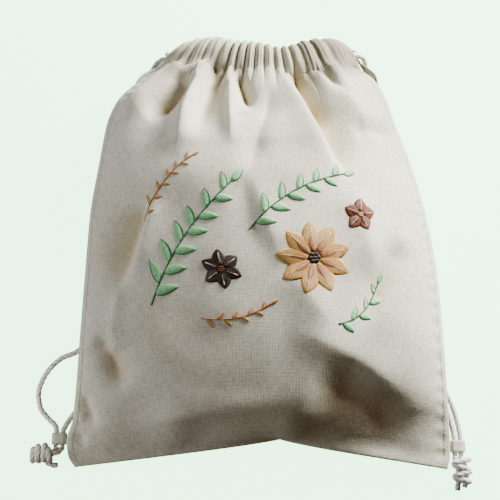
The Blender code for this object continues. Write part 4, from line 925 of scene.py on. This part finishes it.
def laidThread(surface, line, halfWidth, height, sides):
    # An oval tube laid along a line on the cloth, with its own half width at each point. Half of
    # it is sunk in the cloth, and it closes at both ends.
    angle = surface["facing"] * np.arange(sides)[None] * 2 * math.pi / sides
    across = halfWidth[:, None] * np.cos(angle)
    flat = line[:, None] + squareTo(line)[:, None] * across[..., None]
    full = np.clip(halfWidth / fullHalfWidth, 0, 1)[:, None]
    points = onCloth(surface, flat, full * height * np.sin(angle))
    return points, np.stack(np.broadcast_arrays(runAlong(line)[:, None], across), -1), False


def leafShape(start, end, width, bow, look):
    # a leaf's middle line, bowed to one side, and its half width: widest below the middle, as
    # width / 2 * sin(pi * s ** 0.8) ** 0.8 with a blunt 0.05 mm at both ends
    way = end - start
    bend = (start + end) / 2 + np.array([-way[1], way[0]]) * bow
    s = np.linspace(0, 1, look["leafSteps"])
    half = width / 2 * np.sin(math.pi * s ** 0.8) ** 0.8 + 0.05
    return bentLine(start, bend, end, look["leafSteps"]), half


def sprigParts(sprig, look):
    # (thread, line, half widths, height) of the stem, and of every leaf and its dark edge
    x0, y0, xm, ym, x1, y1, pairs, length, width, leaf, edge = sprig
    steps, height = look["stemSteps"], look["padHeight"]
    stem = bentLine((x0, y0), (xm, ym), (x1, y1), steps)
    parts = [(edge, stem, np.full(steps, look["stemWidth"]), height)]
    for j in range(2 * pairs + 1):  # leaves on alternate sides, and one at the tip
        place = look["leafFrom"] + look["leafRun"] * j / (2 * pairs)
        spot = int(place * (steps - 1))
        way = stem[min(spot + 1, steps - 1)] - stem[max(spot - 1, 0)]
        side = 0 if j == 2 * pairs else (1 if j % 2 else -1)
        turn = math.atan2(way[1], way[0]) + side * look["leafTurn"]
        reach = length * (1 - look["shorter"] * place)
        tip = stem[spot] + reach * np.array([math.cos(turn), math.sin(turn)])
        line, half = leafShape(stem[spot], tip, width * (1 - look["narrower"] * place),
                               -look["leafBow"] * side, look)
        parts.append((leaf, line, half, height))
        square = squareTo(line)
        outward = square if square[len(line) // 2] @ look["edgeSide"] > 0 else -square
        parts.append((edge, line + outward * half[:, None],
                      np.full(len(line), look["edgeWidth"]), height * look["edgeHeight"]))
    return parts


def flowerParts(flower, look):
    # (thread, line, half widths, height) of every petal, its heart and its vein, and of the
    # thread knots in the middle
    x, y, petals, turn, reach, width, rim, heart, vein, middle = flower
    centre, pad, parts = np.array((x, y), float), look["padHeight"], []
    for j in range(petals):
        angle = math.radians(turn) + 2 * math.pi * j / petals
        way = reach * np.array([math.cos(angle), math.sin(angle)])
        for thread, (first, last, share, height) in ((rim, look["rim"]), (heart, look["heart"])):
            line, half = leafShape(centre + way * first, centre + way * last, width * share,
                                   look["petalBow"], look)
            parts.append((thread, line, half, pad * height))
        line = centre + way * np.linspace(look["veinFrom"], look["veinTo"],
                                          look["veinSteps"])[:, None]
        parts.append((vein, line, np.full(len(line), look["edgeWidth"]),
                      pad * look["veinHeight"]))
    t = np.linspace(-1, 1, look["knotSteps"])
    half = reach * look["knotWidth"] * np.sqrt(np.clip(1 - t ** 2, 0.05, 1))
    for j in range(look["knots"] + 1):  # a ring of them, and one inside it
        angle = 2 * math.pi * j / look["knots"]
        away = 0 if j == look["knots"] else reach * look["knotRing"]
        spot = centre + away * np.array([math.cos(angle), math.sin(angle)])
        parts.append((middle, spot + t[:, None] * (reach * look["knotLength"], 0), half,
                      pad * look["knotHeight"]))
    return parts


def satinStitchThread(name, colour, look):
    # Embroidery in satin stitch: a glossy thread laid side by side, so the light runs in fine
    # lines across each shape. Threads are 0.4 mm wide, drawn at threadPitch to show.
    material, tree, shader = newMaterial("satinStitch" + name[0].upper() + name[1:])
    uv = addNode(tree, "UVMap", {"uv_map": "threads"})
    slanted = addNode(tree, "Mapping", Vector=uv,
                      Rotation=(0, 0, math.radians(look["threadSlant"])))
    threads = addNode(tree, "TexWave", out="Fac", Vector=slanted, Distortion=0.5, Detail=1.0,
                      Scale=1 / look["threadPitch"] / waveRepeat)
    patches = addNode(tree, "TexNoise", Vector=uv, Scale=look["patchScale"], Detail=2.0)
    # painted light and shade: each laid thread lighter along its crown and darker between threads
    lit = addNode(tree, "ValToRGB", {"stops": ((0.0, "#A8A8A8"), (0.6, "#FFFFFF"))}, Fac=threads)
    tone = addNode(tree, "ValToRGB", {"stops": ((0.35, "#C8C8C8"), (0.6, "#FFFFFF"))},
                   Fac=patches)
    striped = addNode(tree, "Mix", multiplied, 2, i0=0.8, i6=linear(colour), i7=lit)
    both = addNode(tree, "Mix", multiplied, 2, i0=0.6, i6=striped, i7=tone)
    setSurface(tree, shader, look, both, threads)
    return material


def makeEmbroidery(look, surface):
    # one piece for each colour of thread
    parts = [part for sprig in look["sprigs"] for part in sprigParts(sprig, look)]
    parts += [part for flower in look["flowers"] for part in flowerParts(flower, look)]
    return [makeTubes("embroidery" + thread[0].upper() + thread[1:],
                      [laidThread(surface, *part[1:], look["sides"])
                       for part in parts if part[0] == thread],
                      satinStitchThread(thread, colour, look))
            for thread, colour in look["threads"].items()]


embroideryPieces = makeEmbroidery(embroidery, frontSurface)
print("embroidery made:", sum(len(piece.data.polygons) for piece in embroideryPieces), "faces")


# stitches: each one's shape, the step to the next, how far the seams' stitches lie from the
# edge, and how far from the bottom and from the channel they start and end
stitchLook = {
    "colour": "#EDE8DA", "halfWidths": (0.19, 0.38, 0.38, 0.19), "height": 0.35, "sides": 6,
    "length": 2.5, "step": 3.4, "seamInset": 7.6, "sideFrom": 12.0, "sideTo": 8.0,
}


def makeStitches(name, surface, look, material):
    # short runs of thread up both side seams and along the foot of the channel
    side = clothMake["flatWidth"] / 2 - look["seamInset"]
    neck = surface["flat"][surface["neckRow"], 0, 1]
    runs = [((x, look["sideFrom"]), (0, 1), neck - look["sideFrom"] - look["sideTo"])
            for x in (-side, side)] + [((-side, neck), (1, 0), 2 * side)]
    half = np.array(look["halfWidths"])
    along = np.linspace(0, look["length"], len(half))[:, None]
    return makeTubes(name, [
        laidThread(surface, start + (place + along) * way, half, look["height"], look["sides"])
        for start, way, length in runs for place in np.arange(0, length, look["step"])], material)


sewingThread = satinStitchThread("sewing", stitchLook["colour"], embroidery)
frontStitches = makeStitches("frontStitches", frontSurface, stitchLook, sewingThread)
backStitches = makeStitches("backStitches", backSurface, stitchLook, sewingThread)
print("stitches made:", len(frontStitches.data.polygons), "faces on the front")


# floor and light
# floorGlow is how far the floor shines of itself, as a light table does, which keeps shadows faint
studio = {
    "floorColour": "#B9FFCB", "floorGlow": 6.3, "floorAlbedo": "#8FA697", "floorSize": 6.0,
    "roughness": 0.95, "specular": 0.1, "worldColour": "#D4B698", "worldStrength": 0.12,
}
# lights: where each is aimed in mm, azimuth from +X towards +Y, elevation, distance and size in
# metres, power, beam in degrees and colour
lights = {
    "key": ((0, 0, 0), 47.0, 19.0, 1.7, 0.5, 180.0, 180.0, "#FFFEFA"),
    "leftFill": ((0, 0, 0), 182.0, 15.0, 3.0, 1.5, 80.0, 180.0, "#F4F6FA"),
    "cordFill": ((-250, -145, 0), 225.0, 60.0, 0.6, 0.1, 0.05, 15.0, "#FFFCF6"),
}


def makeFloor(look):
    size = look["floorSize"] / 2
    mesh = bpy.data.meshes.new("floor")
    mesh.from_pydata([(-size, -size, 0), (size, -size, 0), (size, size, 0), (-size, size, 0)], [],
                     [(0, 1, 2, 3)])
    material, tree, shader = newMaterial("paleStudioFloor")
    setInputs(tree, shader, {
        "Base Color": linear(look["floorAlbedo"]), "Roughness": look["roughness"],
        "Specular IOR Level": look["specular"], "Emission Color": linear(look["floorColour"]),
        "Emission Strength": look["floorGlow"]})
    mesh.materials.append(material)
    floor = newObject("floor", mesh)
    floor.visible_diffuse = floor.visible_glossy = False  # its glow doesn't light the bag


def addLight(name, aim, azimuth, elevation, distance, size, power, beam, colour):
    # a square soft light that faces its aim
    turn, rise = math.radians(azimuth), math.radians(elevation)
    way = Vector((math.cos(rise) * math.cos(turn), math.cos(rise) * math.sin(turn),
                  math.sin(rise)))
    data = bpy.data.lights.new(name, "AREA")
    data.size, data.energy, data.color = size, power, linear(colour)[:3]
    data.spread = math.radians(beam)
    light = newObject(name, data)
    light.location = way * distance + Vector(aim) * mm
    light.rotation_euler = way.to_track_quat("Z", "Y").to_euler()


makeFloor(studio)
for name, settings in lights.items():
    addLight(name, *settings)
world = bpy.data.worlds.new("studio")
bpy.context.scene.world = world
world.use_nodes = True
setInputs(world.node_tree, world.node_tree.nodes["Background"], {
    "Color": linear(studio["worldColour"]), "Strength": studio["worldStrength"]})
print("floor and light made")


# what goes with what
replaced = {
    front: ("front_panel", "natural_linen"), back: ("back_panel", "natural_linen"),
    rightCord: ("cord_right", "cotton_rope"), leftCord: ("cord_left", "cotton_rope"),
    rightKnot: ("knot_right", "cotton_rope"), leftKnot: ("knot_left", "cotton_rope"),
    rightTab: ("tab_right", "cotton_tape"), leftTab: ("tab_left", "cotton_tape"),
}
for piece, (node, slotName) in replaced.items():
    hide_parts(node)
    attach(piece, "root")
for piece in embroideryPieces + [frontStitches, backStitches]:
    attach(piece, "root")
